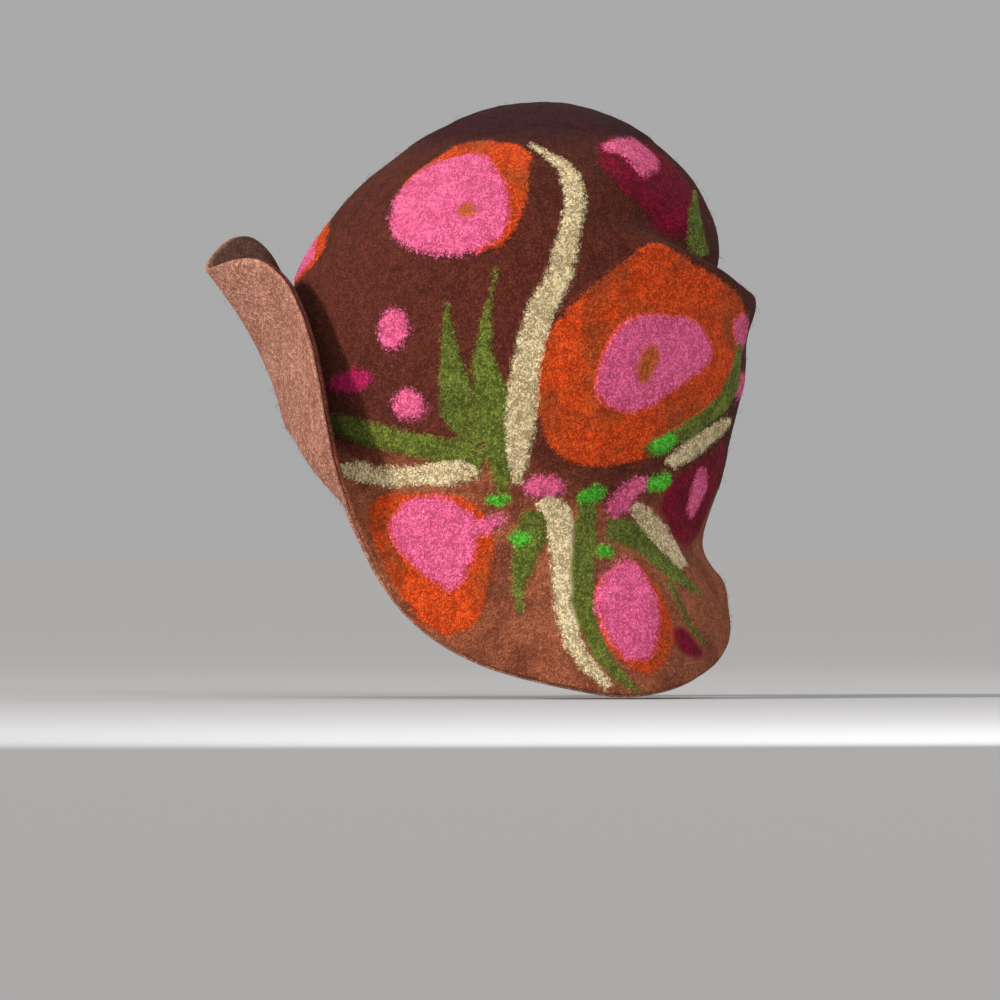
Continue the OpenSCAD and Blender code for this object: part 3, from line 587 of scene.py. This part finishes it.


# ---- The felt's browns, with painted shade on the top and back of the crown ----
# Where each change of brown starts, as a y or a z, and over how many millimetres.

LINE_FRONT, LINE_DROP, LINE_FROM, LINE_RUN = 10, 18, -10, 60  # the chestnut's upper line
CHESTNUT_RUN, CHESTNUT_PAST = 26, 0.3
CROWN_FROM, CROWN_RUN = 80, 60
BACK_FROM, BACK_RUN, BACK_ABOVE, BACK_RISE = 78, 30, -20, 30
TOP_FROM, TOP_RUN = 148, 18
TIP_FROM, TIP_RUN = -104, 10
EVEN_MOTTLE = 0.35


def blend(a, b, share):
    return a * (1 - share[:, None]) + linear(b) * share[:, None]


def brown(points):
    """The outer layer's colour: dark on the crown, chestnut on the lower part and brim, with
    painted shade on the top and back of the crown.
    """
    y, z = points[:, 1], points[:, 2]
    drift = uneven(points, BROWN_DRIFT)
    line = LINE_FRONT - LINE_DROP * eased((y - LINE_FROM) / LINE_RUN)
    c = np.tile(linear(DARK_BROWN), (len(points), 1))
    c = blend(c, CHESTNUT, eased((line - z + drift) / CHESTNUT_RUN + CHESTNUT_PAST))
    c = blend(c, DARK_BROWN, 0.55 * eased(uneven(points, BROWN_MOTTLE, EVEN_MOTTLE)))
    # partly the crown's own dark felt, partly painted shade: darker towards the top of the crown
    c = blend(c, DEEP_BROWN, 0.3 * eased((z - CROWN_FROM + 3 * drift) / CROWN_RUN))
    # painted shade: the back of the crown made darker above its lower part
    at_back = eased((y - BACK_FROM + drift) / BACK_RUN)
    c = blend(c, DEEP_BROWN, 0.5 * at_back * eased((z - BACK_ABOVE) / BACK_RISE))
    # partly the crown top's own plum-dark colour, partly painted shade: aubergine over the top
    c = blend(c, AUBERGINE, 0.85 * eased((z - TOP_FROM + drift) / TOP_RUN))
    # greyer brown towards the flap's front tip
    return blend(c, GREYISH_BROWN, 0.8 * eased((TIP_FROM - y) / TIP_RUN))


# ---- Meshes ----


def placed(name, data):
    piece = bpy.data.objects.new(name, data)
    bpy.context.scene.collection.objects.link(piece)
    return piece


def mesh_piece(name, points, faces, material, **attributes):
    """A smooth piece on the hat's one body, with values or colours at its points."""
    mesh = bpy.data.meshes.new(name)
    mesh.from_pydata((np.asarray(points) * MM).tolist(), [], faces)
    mesh.polygons.foreach_set("use_smooth", np.full(len(mesh.polygons), True))
    for key, values in attributes.items():
        values = np.asarray(values, np.float32)
        if values.ndim == 1:
            mesh.attributes.new(key, "FLOAT", "POINT").data.foreach_set("value", values)
        else:
            colours = np.concatenate([values, np.ones((len(values), 1), np.float32)], 1)
            data = mesh.attributes.new(key, "FLOAT_COLOR", "POINT").data
            data.foreach_set("color", colours.ravel())
    mesh.materials.append(material)
    mesh.update()
    piece = placed(name, mesh)
    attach(piece, "root")
    return piece


def sheet_area(points, quads):
    p = points[np.asarray(quads)]
    return float(norm(np.cross(p[:, 2] - p[:, 0], p[:, 3] - p[:, 1])).sum() / 2)


# ---- Materials ----


class Shader:
    """Small helpers to build a material's node tree."""

    def __init__(self, name):
        self.material = bpy.data.materials.new(name)
        self.material.use_nodes = True
        self.tree = self.material.node_tree
        self.tree.nodes.clear()

    def add(self, kind, inputs=None, **settings):
        node = self.tree.nodes.new(kind)
        for key, value in settings.items():
            setattr(node, key, value)
        for key, value in (inputs or {}).items():
            if isinstance(value, bpy.types.NodeSocket):
                self.tree.links.new(value, node.inputs[key])
            else:
                node.inputs[key].default_value = value
        return node

    def math(self, operation, a, b=0.0, c=0.0, clamp=False):
        settings = {"operation": operation, "use_clamp": clamp}
        return self.add("ShaderNodeMath", {0: a, 1: b, 2: c}, **settings).outputs[0]

    def times(self, a, b, more=0.0, clamp=False):
        """The product of two values, with a third added to it."""
        return self.math("MULTIPLY_ADD", a, b, more, clamp)

    def past(self, value, start, slope):
        """How far a value is past a start, times a slope, kept within 0 and 1."""
        return self.times(self.math("SUBTRACT", value, start), slope, clamp=True)

    def vector(self, operation, *vectors):
        inputs = dict(enumerate(vectors))
        return self.add("ShaderNodeVectorMath", inputs, operation=operation).outputs[0]

    def millimetres(self):
        """The place on the piece, in millimetres."""
        place = self.add("ShaderNodeTexCoord").outputs["Object"]
        return self.vector("MULTIPLY", place, (1000, 1000, 1000))

    def noise(self, vector, size, detail, roughness, distortion=0.0, kind="FBM"):
        inputs = {
            "Vector": vector, "Scale": 1 / size, "Detail": detail, "Roughness": roughness,
            "Distortion": distortion}
        return self.add("ShaderNodeTexNoise", inputs, noise_type=kind, normalize=True).outputs[0]

    def ramp(self, factor, stops):
        node = self.add("ShaderNodeValToRGB", {"Fac": factor})
        ends = node.color_ramp.elements
        for k, (place, code) in enumerate(stops):
            stop = ends[k] if k < 2 else ends.new(place)
            stop.position = place
            stop.color = rgba(code)
        return node.outputs["Color"]

    def mix(self, factor, a, b, how="MIX"):
        settings = {"data_type": "RGBA", "blend_type": how, "clamp_factor": True}
        return self.add("ShaderNodeMix", {"Factor": factor, 6: a, 7: b}, **settings).outputs[2]

    def attribute(self, name, output):
        return self.add("ShaderNodeAttribute", attribute_name=name).outputs[output]

    def bump(self, height, distance, strength=1.0):
        inputs = {"Height": height, "Strength": strength, "Distance": distance}
        return self.add("ShaderNodeBump", inputs).outputs[0]

    def surface(self, inputs):
        """Ends the tree with a surface, and returns the material."""
        shader = self.add("ShaderNodeBsdfPrincipled", inputs).outputs[0]
        self.add("ShaderNodeOutputMaterial", {0: shader})
        return self.material


# Size in mm, detail and roughness of the noises in the felt.
FIBRE_NOISE = (1.6, 3, 0.65)
SPECK_NOISE = (0.75, 3, 0.75)
CLUMP_NOISE = (2.6, 3, 0.7)
PATCH_NOISE = (9, 3, 0.6)
WASH_NOISE = (26, 3, 0.6)
CURL_SCALE, CURL = 0.45, 2.4
# Tones past which dark specks (dark fibres, and painted shade in the felt's pits) and pale fibres
# show, and how steeply.
DARK_BELOW, DARK_SLOPE = 0.466, -13.0
PALE_ABOVE, PALE_SLOPE = 0.525, 7.0
MIDDLE_TONE, TONE_SHIFT = 0.5, -0.07
DARKENED = (0.30, 0.24, 0.26, 1)
LIGHTENED = (1.9, 1.9, 1.85, 1)
FRAY, EDGE_CONTRAST = 9.0, 0.42
FELT_BUMP = 0.0015


def felt_material(slot, wool=None, coarse=1.0):
    """Wool felt: a prefelt's own colour inside its outline, the colour below it elsewhere."""
    s = Shader(slot)
    millimetres = s.millimetres()
    inputs = {"Vector": millimetres, "Scale": CURL_SCALE, "Detail": 2.0}
    curl = s.add("ShaderNodeTexNoise", inputs).outputs["Color"]
    curled = s.vector("MULTIPLY_ADD", curl, (CURL, CURL, CURL), millimetres)

    def layer(vector, size, detail, roughness, **settings):
        return s.noise(vector, size * coarse, detail, roughness, **settings)

    fibres = layer(curled, *FIBRE_NOISE, kind="RIDGED_MULTIFRACTAL")
    specks = layer(curled, *SPECK_NOISE)
    clumps = layer(millimetres, *CLUMP_NOISE, distortion=0.6)
    tone = s.times(specks, 0.50, s.times(fibres, 0.30))
    tone = s.times(clumps, 0.30, s.math("ADD", tone, TONE_SHIFT))
    tone = s.times(s.noise(millimetres, *PATCH_NOISE), 0.14, tone)
    dark_share = s.past(tone, DARK_BELOW, DARK_SLOPE)
    pale_share = s.past(tone, PALE_ABOVE, PALE_SLOPE)
    under = s.attribute("under", "Color")
    dark, pale = (s.mix(1.0, under, tint, "MULTIPLY") for tint in (DARKENED, LIGHTENED))
    # dark specks: partly dark fibres, partly painted shade in the felt's pits
    colour = s.mix(s.times(dark_share, 0.75), under, dark)
    colour = s.mix(s.times(pale_share, 0.7), colour, pale)
    if wool:
        own, stray, second, share, dark, pale, past, fray_by = WOOL[wool]
        wash = s.past(s.noise(millimetres, *WASH_NOISE), 0.46, 5.0)
        laid = s.mix(s.times(wash, share), rgba(own), rgba(second))
        laid = s.mix(s.past(fibres, 0.60, 4.0), laid, rgba(stray))
        # the wool's dark specks: partly dark fibres, partly painted shade in the felt's pits
        laid = s.mix(s.times(dark_share, 0.75), laid, rgba(dark))
        laid = s.mix(s.times(pale_share, 0.4), laid, rgba(pale))
        fray = s.times(s.math("SUBTRACT", tone, MIDDLE_TONE), FRAY * fray_by)
        reach = s.math("ADD", s.math("ADD", s.attribute("edge", "Fac"), past), fray)
        contrast = EDGE_CONTRAST / fray_by ** 0.5
        colour = s.mix(s.times(reach, contrast, 0.5, clamp=True), colour, laid)
    height = s.times(fibres, 0.8, s.times(clumps, 0.9))
    height = s.times(specks, 0.5, height)
    return s.surface({
        "Base Color": colour, "Roughness": 1.0, "Specular IOR Level": 0.05,
        "Normal": s.bump(height, FELT_BUMP), "Sheen Weight": 0.05, "Sheen Roughness": 0.5,
        "Sheen Tint": (1.0, 0.72, 0.62, 1.0)})


RIB_SPACING = 0.9
RIB_BUMP = 0.00025


def ribbon_material():
    """Grosgrain: ribs across the ribbon, with painted shade and highlight along them, worn a
    little at random.
    """
    s = Shader("sweatband_ribbon")
    turns = s.times(s.attribute("along", "Fac"), 2 * np.pi / RIB_SPACING)
    ribs = s.math("SINE", turns)
    millimetres = s.millimetres()
    wear, threads = s.noise(millimetres, 9, 4, 0.6), s.noise(millimetres, 0.4, 2, 0.7)
    tone = s.times(wear, 0.5, s.times(threads, 0.4))
    return s.surface({
        # painted shade and highlight: the ribs darken and lighten the colour
        "Base Color": s.ramp(s.times(ribs, 0.22, tone), RIBBON_BROWNS),
        "Roughness": 0.55, "Specular IOR Level": 0.35, "Normal": s.bump(ribs, RIB_BUMP, 0.8),
        "Sheen Weight": 0.2})


def thread_material():
    s = Shader("sewing_thread")
    colour = s.ramp(s.noise(s.millimetres(), 0.3, 2, 0.6), THREAD_BROWNS)
    return s.surface({"Base Color": colour, "Roughness": 0.6, "Sheen Weight": 0.15})


# ---- Building the motifs ----

# The dark plum patch over the top of the crown, partly its own plum and partly painted shade:
# columns and rings of its mesh, its reach in mm.
TOP_COLUMNS, TOP_RINGS, TOP_REACH = 180, 40, 50
STATION_ANGLE = 360 / STATIONS
COLOUR_REACH = 4  # how far outside its outline a motif can still colour the felt
SUNK = 0.9  # how far a prefelt's mesh goes into the felt below it
THINNEST = 0.05
LAID_GAP = 0.06
DIVE = 0.7  # how far a prefelt's margin dips into the felt


def top_patch_edge(u):
    """Ring at which the dark plum patch over the top of the crown, partly painted shade, ends."""
    wave = 0.25 * np.cos(np.radians(2 * u * STATION_ANGLE))
    return 1.5 + wave + 0.12 * np.cos(np.radians(5 * u * STATION_ANGLE + 40))


def make_patches():
    """Name, wool, level and parts of every motif, the lowest first."""
    patches = []
    for name, wool, level, view, outlines in BLOBS:
        patches.append((name, wool, level, [blob_patch(view, o) for o in outlines]))
    for name, wool, level, view, line in STRIPS:
        patches.append((name, wool, level, [(None, *strip_patch(view, line))]))
    u = np.linspace(0, STATIONS, TOP_COLUMNS + 1)[:-1]
    reach = top_patch_edge(u)
    f = np.concatenate([np.arange(1, TOP_RINGS + 1) / TOP_RINGS, 1 + MARGIN / TOP_REACH])
    places = np.stack([np.tile(u, (len(f), 1)), f[:, None] * reach], -1)
    part = (np.array([0.0, 0.0]), places, np.stack([u, reach], -1))
    # the crown top's dark plum patch: partly its own colour, partly painted shade
    patches.append(("top_patch", "plum", 0, [part]))
    return sorted(patches, key=lambda patch: patch[2])


def patch_grid(centre, places):
    """Felt places, quads, triangles and border of one part of a patch."""
    rows, columns = places.shape[:2]
    flat = places.reshape(-1, 2)
    k = np.arange(columns)
    if centre is not None:
        fans = np.stack([np.full(columns, len(flat)), k, (k + 1) % columns], -1)
        flat = np.concatenate([flat, centre[None]])
        return flat, grid_quads(rows, columns, True), fans, (rows - 1) * columns + k
    right = np.arange(1, rows) * columns + columns - 1
    bottom = (rows - 1) * columns + k[-2::-1]
    left = np.arange(rows - 2, 0, -1) * columns
    border = np.concatenate([k, right, bottom, left])
    return flat, grid_quads(rows, columns, False), np.zeros((0, 3), int), border


def depth_in_motif(name, parts, places, points):
    """Distance inside a motif's outlines; negative outside."""
    if name != "top_patch":
        return np.max([depth_within(part[2], places, points) for part in parts], axis=0)
    reach = top_patch_edge(places[:, 0])
    gap = norm(points - felt(places[:, 0], reach))
    return np.where(places[:, 1] < reach, gap, -gap)


def composed(places, points, until=None):
    """Colour and height of the felt with the motifs below the named one laid on it."""
    colour, height = brown(points), np.zeros(len(points))
    for name, wool, _, parts in motifs:
        if name == until:
            break
        depth = depth_in_motif(name, parts, places, points)
        near = np.flatnonzero(depth > -COLOUR_REACH)
        if len(near) == 0:
            continue
        shown = cover(ragged(depth[near], points[near]))
        colour[near] = blend(colour[near], WOOL[wool][0], shown)
        height[near] += raised(depth[near])
    return colour, height


def build_motif(name, wool, parts):
    """A motif's piece, a thin closed patch for each of its parts, and its area."""
    all_points, all_faces, all_under, all_edge, area = [], [], [], [], 0.0
    base = 0
    for part in parts:
        centre, places, _ = part
        flat, quads, fans, border = patch_grid(centre, places)
        points, normals = felt(*flat.T), felt_normal(*flat.T)
        depth = depth_in_motif(name, [part], flat, points)
        under, height = composed(flat, points, until=name)
        rough = ragged(depth, points)
        dive = DIVE * eased((SHOWS_FROM - rough) / SHOWS_RUN)
        lift = height + raised(depth) + LAID_GAP - dive + relief(points)
        upper = points + lift[:, None] * normals
        thick = THINNEST + SUNK * eased((rough - THICKENS_FROM) / THICKENS_RUN)
        lower = upper - thick[:, None] * normals
        n = len(flat)
        beside = np.roll(border, -1)
        sides = np.stack([border, beside, beside + n, border + n], -1)
        if centre is not None:
            sides = sides[:, ::-1]
        for group in (quads, fans, quads[:, ::-1] + n, fans[:, ::-1] + n, sides):
            all_faces += (group + base).tolist()
        all_points += [upper, lower]
        all_under += [under, under]
        all_edge += [rough, rough]
        area += sheet_area(points, np.concatenate([quads, fans[:, [0, 1, 2, 2]]]))
        base += 2 * n
    piece = mesh_piece(
        f"{name}_prefelt", np.concatenate(all_points), all_faces, materials[wool],
        under=np.concatenate(all_under), edge=np.concatenate(all_edge))
    return piece, area


# ---- Felt layers ----

LAYER_COLUMNS = 360
SEEN_ROWS, HIDDEN_ROWS = 178, 40
EDGE_ROWS = 7
RUN_STEPS = 1200
LAYER_GAP = 0.03
BULGE_OUTER, BULGE_INNER = 1.6, 2.2  # how far each layer's round edge stands past the rim
FIBRES = 2250
FIBRE_RADIUS = 0.1
FIBRE_RINGS = np.array([0.0, 0.35, 0.7])
FIBRE_PLACES = 400
FIBRE_LENGTHS, FIBRE_RISES, FIBRE_BENDS = (1.5, 5.5), (0.1, 0.55), (-0.6, 0.6)
FIBRE_TAPER = 0.6
FIBRE_ROOT = 0.15
INNER_FIBRES_FROM = 10  # the inside of the crown has none


def ring_places(count):
    """Rings evenly spaced along the felt, from its top to the rim."""
    t = np.linspace(0, RIM, RUN_STEPS)
    p = felt(np.arange(STATIONS)[:, None], t)
    run = np.concatenate([[0], np.cumsum(norm(np.diff(p, axis=1)).mean(0))])
    return np.interp(np.linspace(0, run[-1], count + 1)[1:], run, t)


def stray_fibres(first_ring, depth, side, seed):
    """Thin curved fibres that stand off one face of the felt: points, faces and felt places."""
    rng = np.random.default_rng(seed)
    rings, tries = ring_places(FIBRE_PLACES), 6 * FIBRES
    u, t = rng.uniform(0, STATIONS, tries), rng.choice(rings[rings > first_ring], tries)
    girth = norm(felt(u + 0.1, t) - felt(u - 0.1, t))
    kept = np.flatnonzero(rng.uniform(0, girth.max(), len(u)) < girth)[:FIBRES]
    u, t = u[kept], np.clip(t[kept], LEAST_RING, RIM - 0.02)
    p, n = felt(u, t), felt_normal(u, t)
    root = p + (depth + relief(p) - side * FIBRE_ROOT)[:, None] * n
    n = side * n
    along = unit(felt(u, t) - felt(u, t - 0.05))
    turn = rng.uniform(0, 2 * np.pi, (len(u), 1))
    heading = np.cos(turn) * along + np.sin(turn) * np.cross(n, along)
    beside = np.cross(n, heading)
    length, rise, bend = (
        rng.uniform(*span, (len(u), 1)) for span in (FIBRE_LENGTHS, FIBRE_RISES, FIBRE_BENDS))

    def core(s):
        return root + length * (
            heading * 0.8 * s + n * rise * np.sin(2.2 * s) + beside * bend * s * s)

    points = []
    for s in FIBRE_RINGS:
        radius = FIBRE_RADIUS * (1 - FIBRE_TAPER * s)
        for angle in (0, 2 * np.pi / 3, 4 * np.pi / 3):
            points.append(core(s) + radius * (np.cos(angle) * beside + np.sin(angle) * n))
    points.append(core(1.0))
    points = np.stack(points, 1)
    count = points.shape[1]
    first = np.arange(len(u))[:, None] * count
    faces = []
    for j, k in ((0, 1), (1, 2), (2, 0)):
        for face in ([j, k, k + 3, j + 3], [j + 3, k + 3, k + 6, j + 6], [j + 6, k + 6, 9]):
            faces += (first + face).tolist()
    faces += (first + [2, 1, 0]).tolist()
    places = np.repeat(np.stack([u, t], -1), count, 0)
    return points.reshape(-1, 3), faces, places, np.repeat(p, count, 0)


def layer_piece(name, upper, lower, upper_rows, lower_rows, material, colour_of, bulge, fibres):
    """A closed felt layer between two depths, rounded at the rim, with stray fibres."""
    columns = LAYER_COLUMNS
    u, k = np.arange(columns) * STATIONS / columns, np.arange(columns)
    middle, half = (upper + lower) / 2, (upper - lower) / 2
    rows = [(t, upper, 0.0) for t in ring_places(upper_rows)]
    for angle in np.linspace(0, np.pi, EDGE_ROWS)[1:-1]:
        rows.append((RIM, middle + half * np.cos(angle), bulge * np.sin(angle)))
    rows += [(t, lower, 0.0) for t in ring_places(lower_rows)[::-1]]
    down = unit(felt(u, RIM) - felt(u, RIM - 0.05))
    grid, flats = [], []
    for t, depth, past in rows:
        p, n = felt(u, t), felt_normal(u, t)
        grid.append(p + depth * n + past * down + relief(p)[:, None] * n)
        flats.append(p)
    grid, top = np.concatenate(grid), felt(0, 0)
    points = np.concatenate([grid, [top + [0, 0, upper], top + [0, 0, lower]]])
    ends, last = len(grid), len(grid) - columns
    quads = grid_quads(len(rows), columns, True)
    faces = quads.tolist()
    faces += np.stack([np.full(columns, ends), k, (k + 1) % columns], -1).tolist()
    fan = [np.full(columns, ends + 1), last + (k + 1) % columns, last + k]
    faces += np.stack(fan, -1).tolist()
    places = [np.stack([u, np.full(columns, t)], -1) for t, _, _ in rows]
    places = np.concatenate([*places, [(0, 0), (0, 0)]])
    flats = np.concatenate([*flats, [top, top]])
    more_points, more_faces, more_places, more_flats = fibres
    faces += [[i + len(points) for i in face] for face in more_faces]
    colours = colour_of(np.concatenate([places, more_places]), np.concatenate([flats, more_flats]))
    piece = mesh_piece(
        name, np.concatenate([points, more_points]), faces, material, under=colours)
    return piece, sheet_area(grid, quads[: (upper_rows - 1) * columns])


def declare(node, area):
    """Hides the CAD part that a sheet stands in for; its area is turned into square metres and
    goes no further.
    """
    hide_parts(node)
    area *= MM * MM


motifs = make_patches()
materials = {wool: felt_material(f"{wool}_felt", wool) for wool in WOOL}
brown_felt = felt_material("brown_felt")
terracotta_felt = felt_material("terracotta_felt", coarse=1.3)


def outer_colour(places, points):
    return composed(places, points)[0]


def inner_colour(_, points):
    patchy = (0.5 + 0.5 * noise(points, 16, 9))[:, None]
    return linear(TERRACOTTA) * (1 - patchy) + linear(PALE_TERRACOTTA) * patchy


INSIDE = -OUTER_THICKNESS - INNER_THICKNESS
outer, outer_area = layer_piece(
    "outer_felt", 0, -OUTER_THICKNESS + LAYER_GAP, SEEN_ROWS, HIDDEN_ROWS, brown_felt,
    outer_colour, BULGE_OUTER, stray_fibres(0, 0, 1, 21))
inner, _ = layer_piece(
    "inner_felt", -OUTER_THICKNESS, INSIDE, HIDDEN_ROWS, SEEN_ROWS, terracotta_felt,
    inner_colour, BULGE_INNER, stray_fibres(INNER_FIBRES_FROM, INSIDE, -1, 22))
declare("outer_felt_layer", outer_area)
declare("inner_felt_layer", outer_area)
for name, wool, _, parts in motifs:
    piece, area = build_motif(name, wool, parts)
    declare(name, area)

# ---- Sweatband ----

BAND_HEIGHT = 22
BAND_THICKNESS = 0.9
BAND_LAP = 0.55  # how far the ribbon's ends overlap at the back, in stations
BAND_STEP = 0.25  # where the upper end steps in over the lower one, in stations
BAND_OUTSIDE = INSIDE - 0.15
BAND_ROWS, BAND_COLUMNS = 12, 620
SELVEDGE = 0.25  # how far the ribbon's edges are rounded
OPENING_SLOPE = 0.328
LOW_RING, HIGH_RING, HALVINGS = 4.0, 10.0, 20


def ring_at(u, height):
    """Ring where the inside is at a height above the tilted plane of the head opening."""
    low, high = np.full(len(u), LOW_RING), np.full(len(u), HIGH_RING)
    for _ in range(HALVINGS):
        middle = (low + high) / 2
        p = felt(u, middle)
        above = p[:, 2] + OPENING_SLOPE * p[:, 1] > height
        low, high = np.where(above, middle, low), np.where(above, high, middle)
    return (low + high) / 2


def sweatband():
    count = BAND_COLUMNS
    last = BACK + STATIONS + BAND_LAP / 2
    u = np.linspace(BACK - BAND_LAP / 2, last, count)
    lapped = eased((u - (BACK + STATIONS - BAND_LAP / 2 - BAND_STEP)) / BAND_STEP)
    step_in = lapped * (BAND_THICKNESS + 0.1)
    sheets = []
    for side in (0, 1):
        rows = []
        for j in range(BAND_ROWS + 1):
            rounded = SELVEDGE * (abs(2 * j / BAND_ROWS - 1) ** 8)
            depth = BAND_OUTSIDE - step_in - (BAND_THICKNESS - rounded if side else rounded)
            t = ring_at(u, BAND_HEIGHT * j / BAND_ROWS)
            p, n = felt(u, t), felt_normal(u, t)
            rows.append(p + (depth + relief(p))[:, None] * n)
        sheets.append(np.array(rows))
    run = run_along(sheets[0][0])
    size = (BAND_ROWS + 1) * count
    quads = grid_quads(BAND_ROWS + 1, count, False)
    faces = quads[:, ::-1].tolist() + (quads + size).tolist()
    low, left = np.arange(count - 1), np.arange(BAND_ROWS) * count
    for start, step, flip in (
            (low, 1, True), (BAND_ROWS * count + low, 1, False),
            (left, count, False), (left + count - 1, count, True)):
        side = np.stack([start, start + step, start + step + size, start + size], -1)
        faces += (side[:, ::-1] if flip else side).tolist()
    points = np.concatenate([sheet.reshape(-1, 3) for sheet in sheets])
    along = np.tile(run, 2 * (BAND_ROWS + 1))
    piece = mesh_piece("sweatband_ribbon", points, faces, ribbon_material(), along=along)
    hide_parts("sweatband")


STITCHES = 36
STITCH_LENGTH = 5
STITCH_RISE = 2.5  # height of the stitches above the ribbon's lower edge
STITCH_SINK = 1.1  # how far a stitch's ends go into the ribbon
STITCH_OUT = 0.25
STRAND = 0.2  # radius of a ply
STRAND_TWIST = 9
STRAND_RINGS, STRAND_SIDES = 14, 7


def stitches():
    """Running stitches of two-ply thread along the ribbon's lower edge."""
    points, faces = [], []
    base, cap = 0, np.arange(STRAND_SIDES)
    angle = cap * 2 * np.pi / STRAND_SIDES
    s = np.linspace(-0.5, 0.5, STRAND_RINGS)
    for k in range(STITCHES):
        middle = (k + 0.5) * STATIONS / STITCHES
        station = norm(felt(middle + 0.5, 7) - felt(middle - 0.5, 7))
        u = middle + s * (STITCH_LENGTH / station)
        t = ring_at(u, STITCH_RISE)
        p, n = felt(u, t), felt_normal(u, t)
        sink = STITCH_SINK * np.abs(2 * s) ** 4
        depth = BAND_OUTSIDE - BAND_THICKNESS - STITCH_OUT + sink + relief(p)
        centre = p + depth[:, None] * n
        up = np.cross(n, unit(np.gradient(centre, axis=0)))
        for ply in (0, np.pi):
            turn = (s * STRAND_TWIST + ply)[:, None]
            core = centre + STRAND * 0.85 * (np.cos(turn) * n + np.sin(turn) * up)
            c, d = np.cos(angle)[:, None, None], np.sin(angle)[:, None, None]
            points.append((core + STRAND * (c * n + d * up)).transpose(1, 0, 2).reshape(-1, 3))
            quads = grid_quads(STRAND_RINGS, STRAND_SIDES, True, flip=True)
            faces += (quads + base).tolist()
            faces.append((base + cap).tolist())
            base += STRAND_RINGS * STRAND_SIDES
            faces.append((base - STRAND_SIDES + cap[::-1]).tolist())
    piece = mesh_piece("sweatband_stitching", np.concatenate(points), faces, thread_material())
    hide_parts("sweatband_stitches")


sweatband()
stitches()

# ---- Floor, light and camera, in metres ----

FLOOR_GREY = (0.42, 0.425, 0.435, 1.0)
FLOOR_HALF = 30.0
FLOOR_GAP = 0.0005
WORLD_GREY, WORLD_STRENGTH = (0.8, 0.8, 0.8, 1), 0.5
# Name, kind, place, power, size and colour.
LAMPS = [
    ("key", "SUN", (0.95, -1.95, 1.05), 3.8, 0.15, (1.0, 0.95, 0.89)),
    ("fill", "AREA", (1.9, 0.6, 0.8), 28, 1.6, (1.0, 0.98, 0.97)),
    ("rim", "AREA", (-1.0, 1.0, 1.2), 4, 1.2, (1, 1, 1)),
]
CAMERA_PLACE = (12.0, 0.0026, -0.0144)
PICTURE_WIDTH = 0.48
SENSOR = 36.0


def floor(height):
    mesh, r = bpy.data.meshes.new("floor"), FLOOR_HALF
    corners = [(-r, -r, height), (r, -r, height), (r, r, height), (-r, r, height)]
    mesh.from_pydata(corners, [], [(0, 1, 2, 3)])
    mesh.materials.append(Shader("floor").surface({"Base Color": FLOOR_GREY, "Roughness": 0.9}))
    piece = placed("floor", mesh)
    piece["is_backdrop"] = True


def lamp(name, kind, place, power, size, colour):
    data = bpy.data.lights.new(name, kind)
    data.energy, data.color = power, colour
    setattr(data, "angle" if kind == "SUN" else "size", size)
    piece = placed(name, data)
    piece.location = place
    piece.rotation_euler = (-piece.location).to_track_quat("-Z", "Y").to_euler()


def camera():
    """Looks along -X, from the wearer's left, at the height of the hat."""
    data = bpy.data.cameras.new("camera")
    data.sensor_width, data.lens = SENSOR, SENSOR * CAMERA_PLACE[0] / PICTURE_WIDTH
    eye = placed("camera", data)
    eye.location = CAMERA_PLACE
    eye.rotation_euler = (np.pi / 2, 0, np.pi / 2)
    bpy.context.scene.camera = eye


def world():
    studio = bpy.context.scene.world = bpy.data.worlds.new("studio")
    studio.use_nodes = True
    inputs = studio.node_tree.nodes["Background"].inputs
    inputs["Color"].default_value, inputs["Strength"].default_value = WORLD_GREY, WORLD_STRENGTH


floor(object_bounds()[0].z - FLOOR_GAP)
for settings in LAMPS:
    lamp(*settings)
world()
bpy.context.scene.view_settings.view_transform = "Standard"
camera()
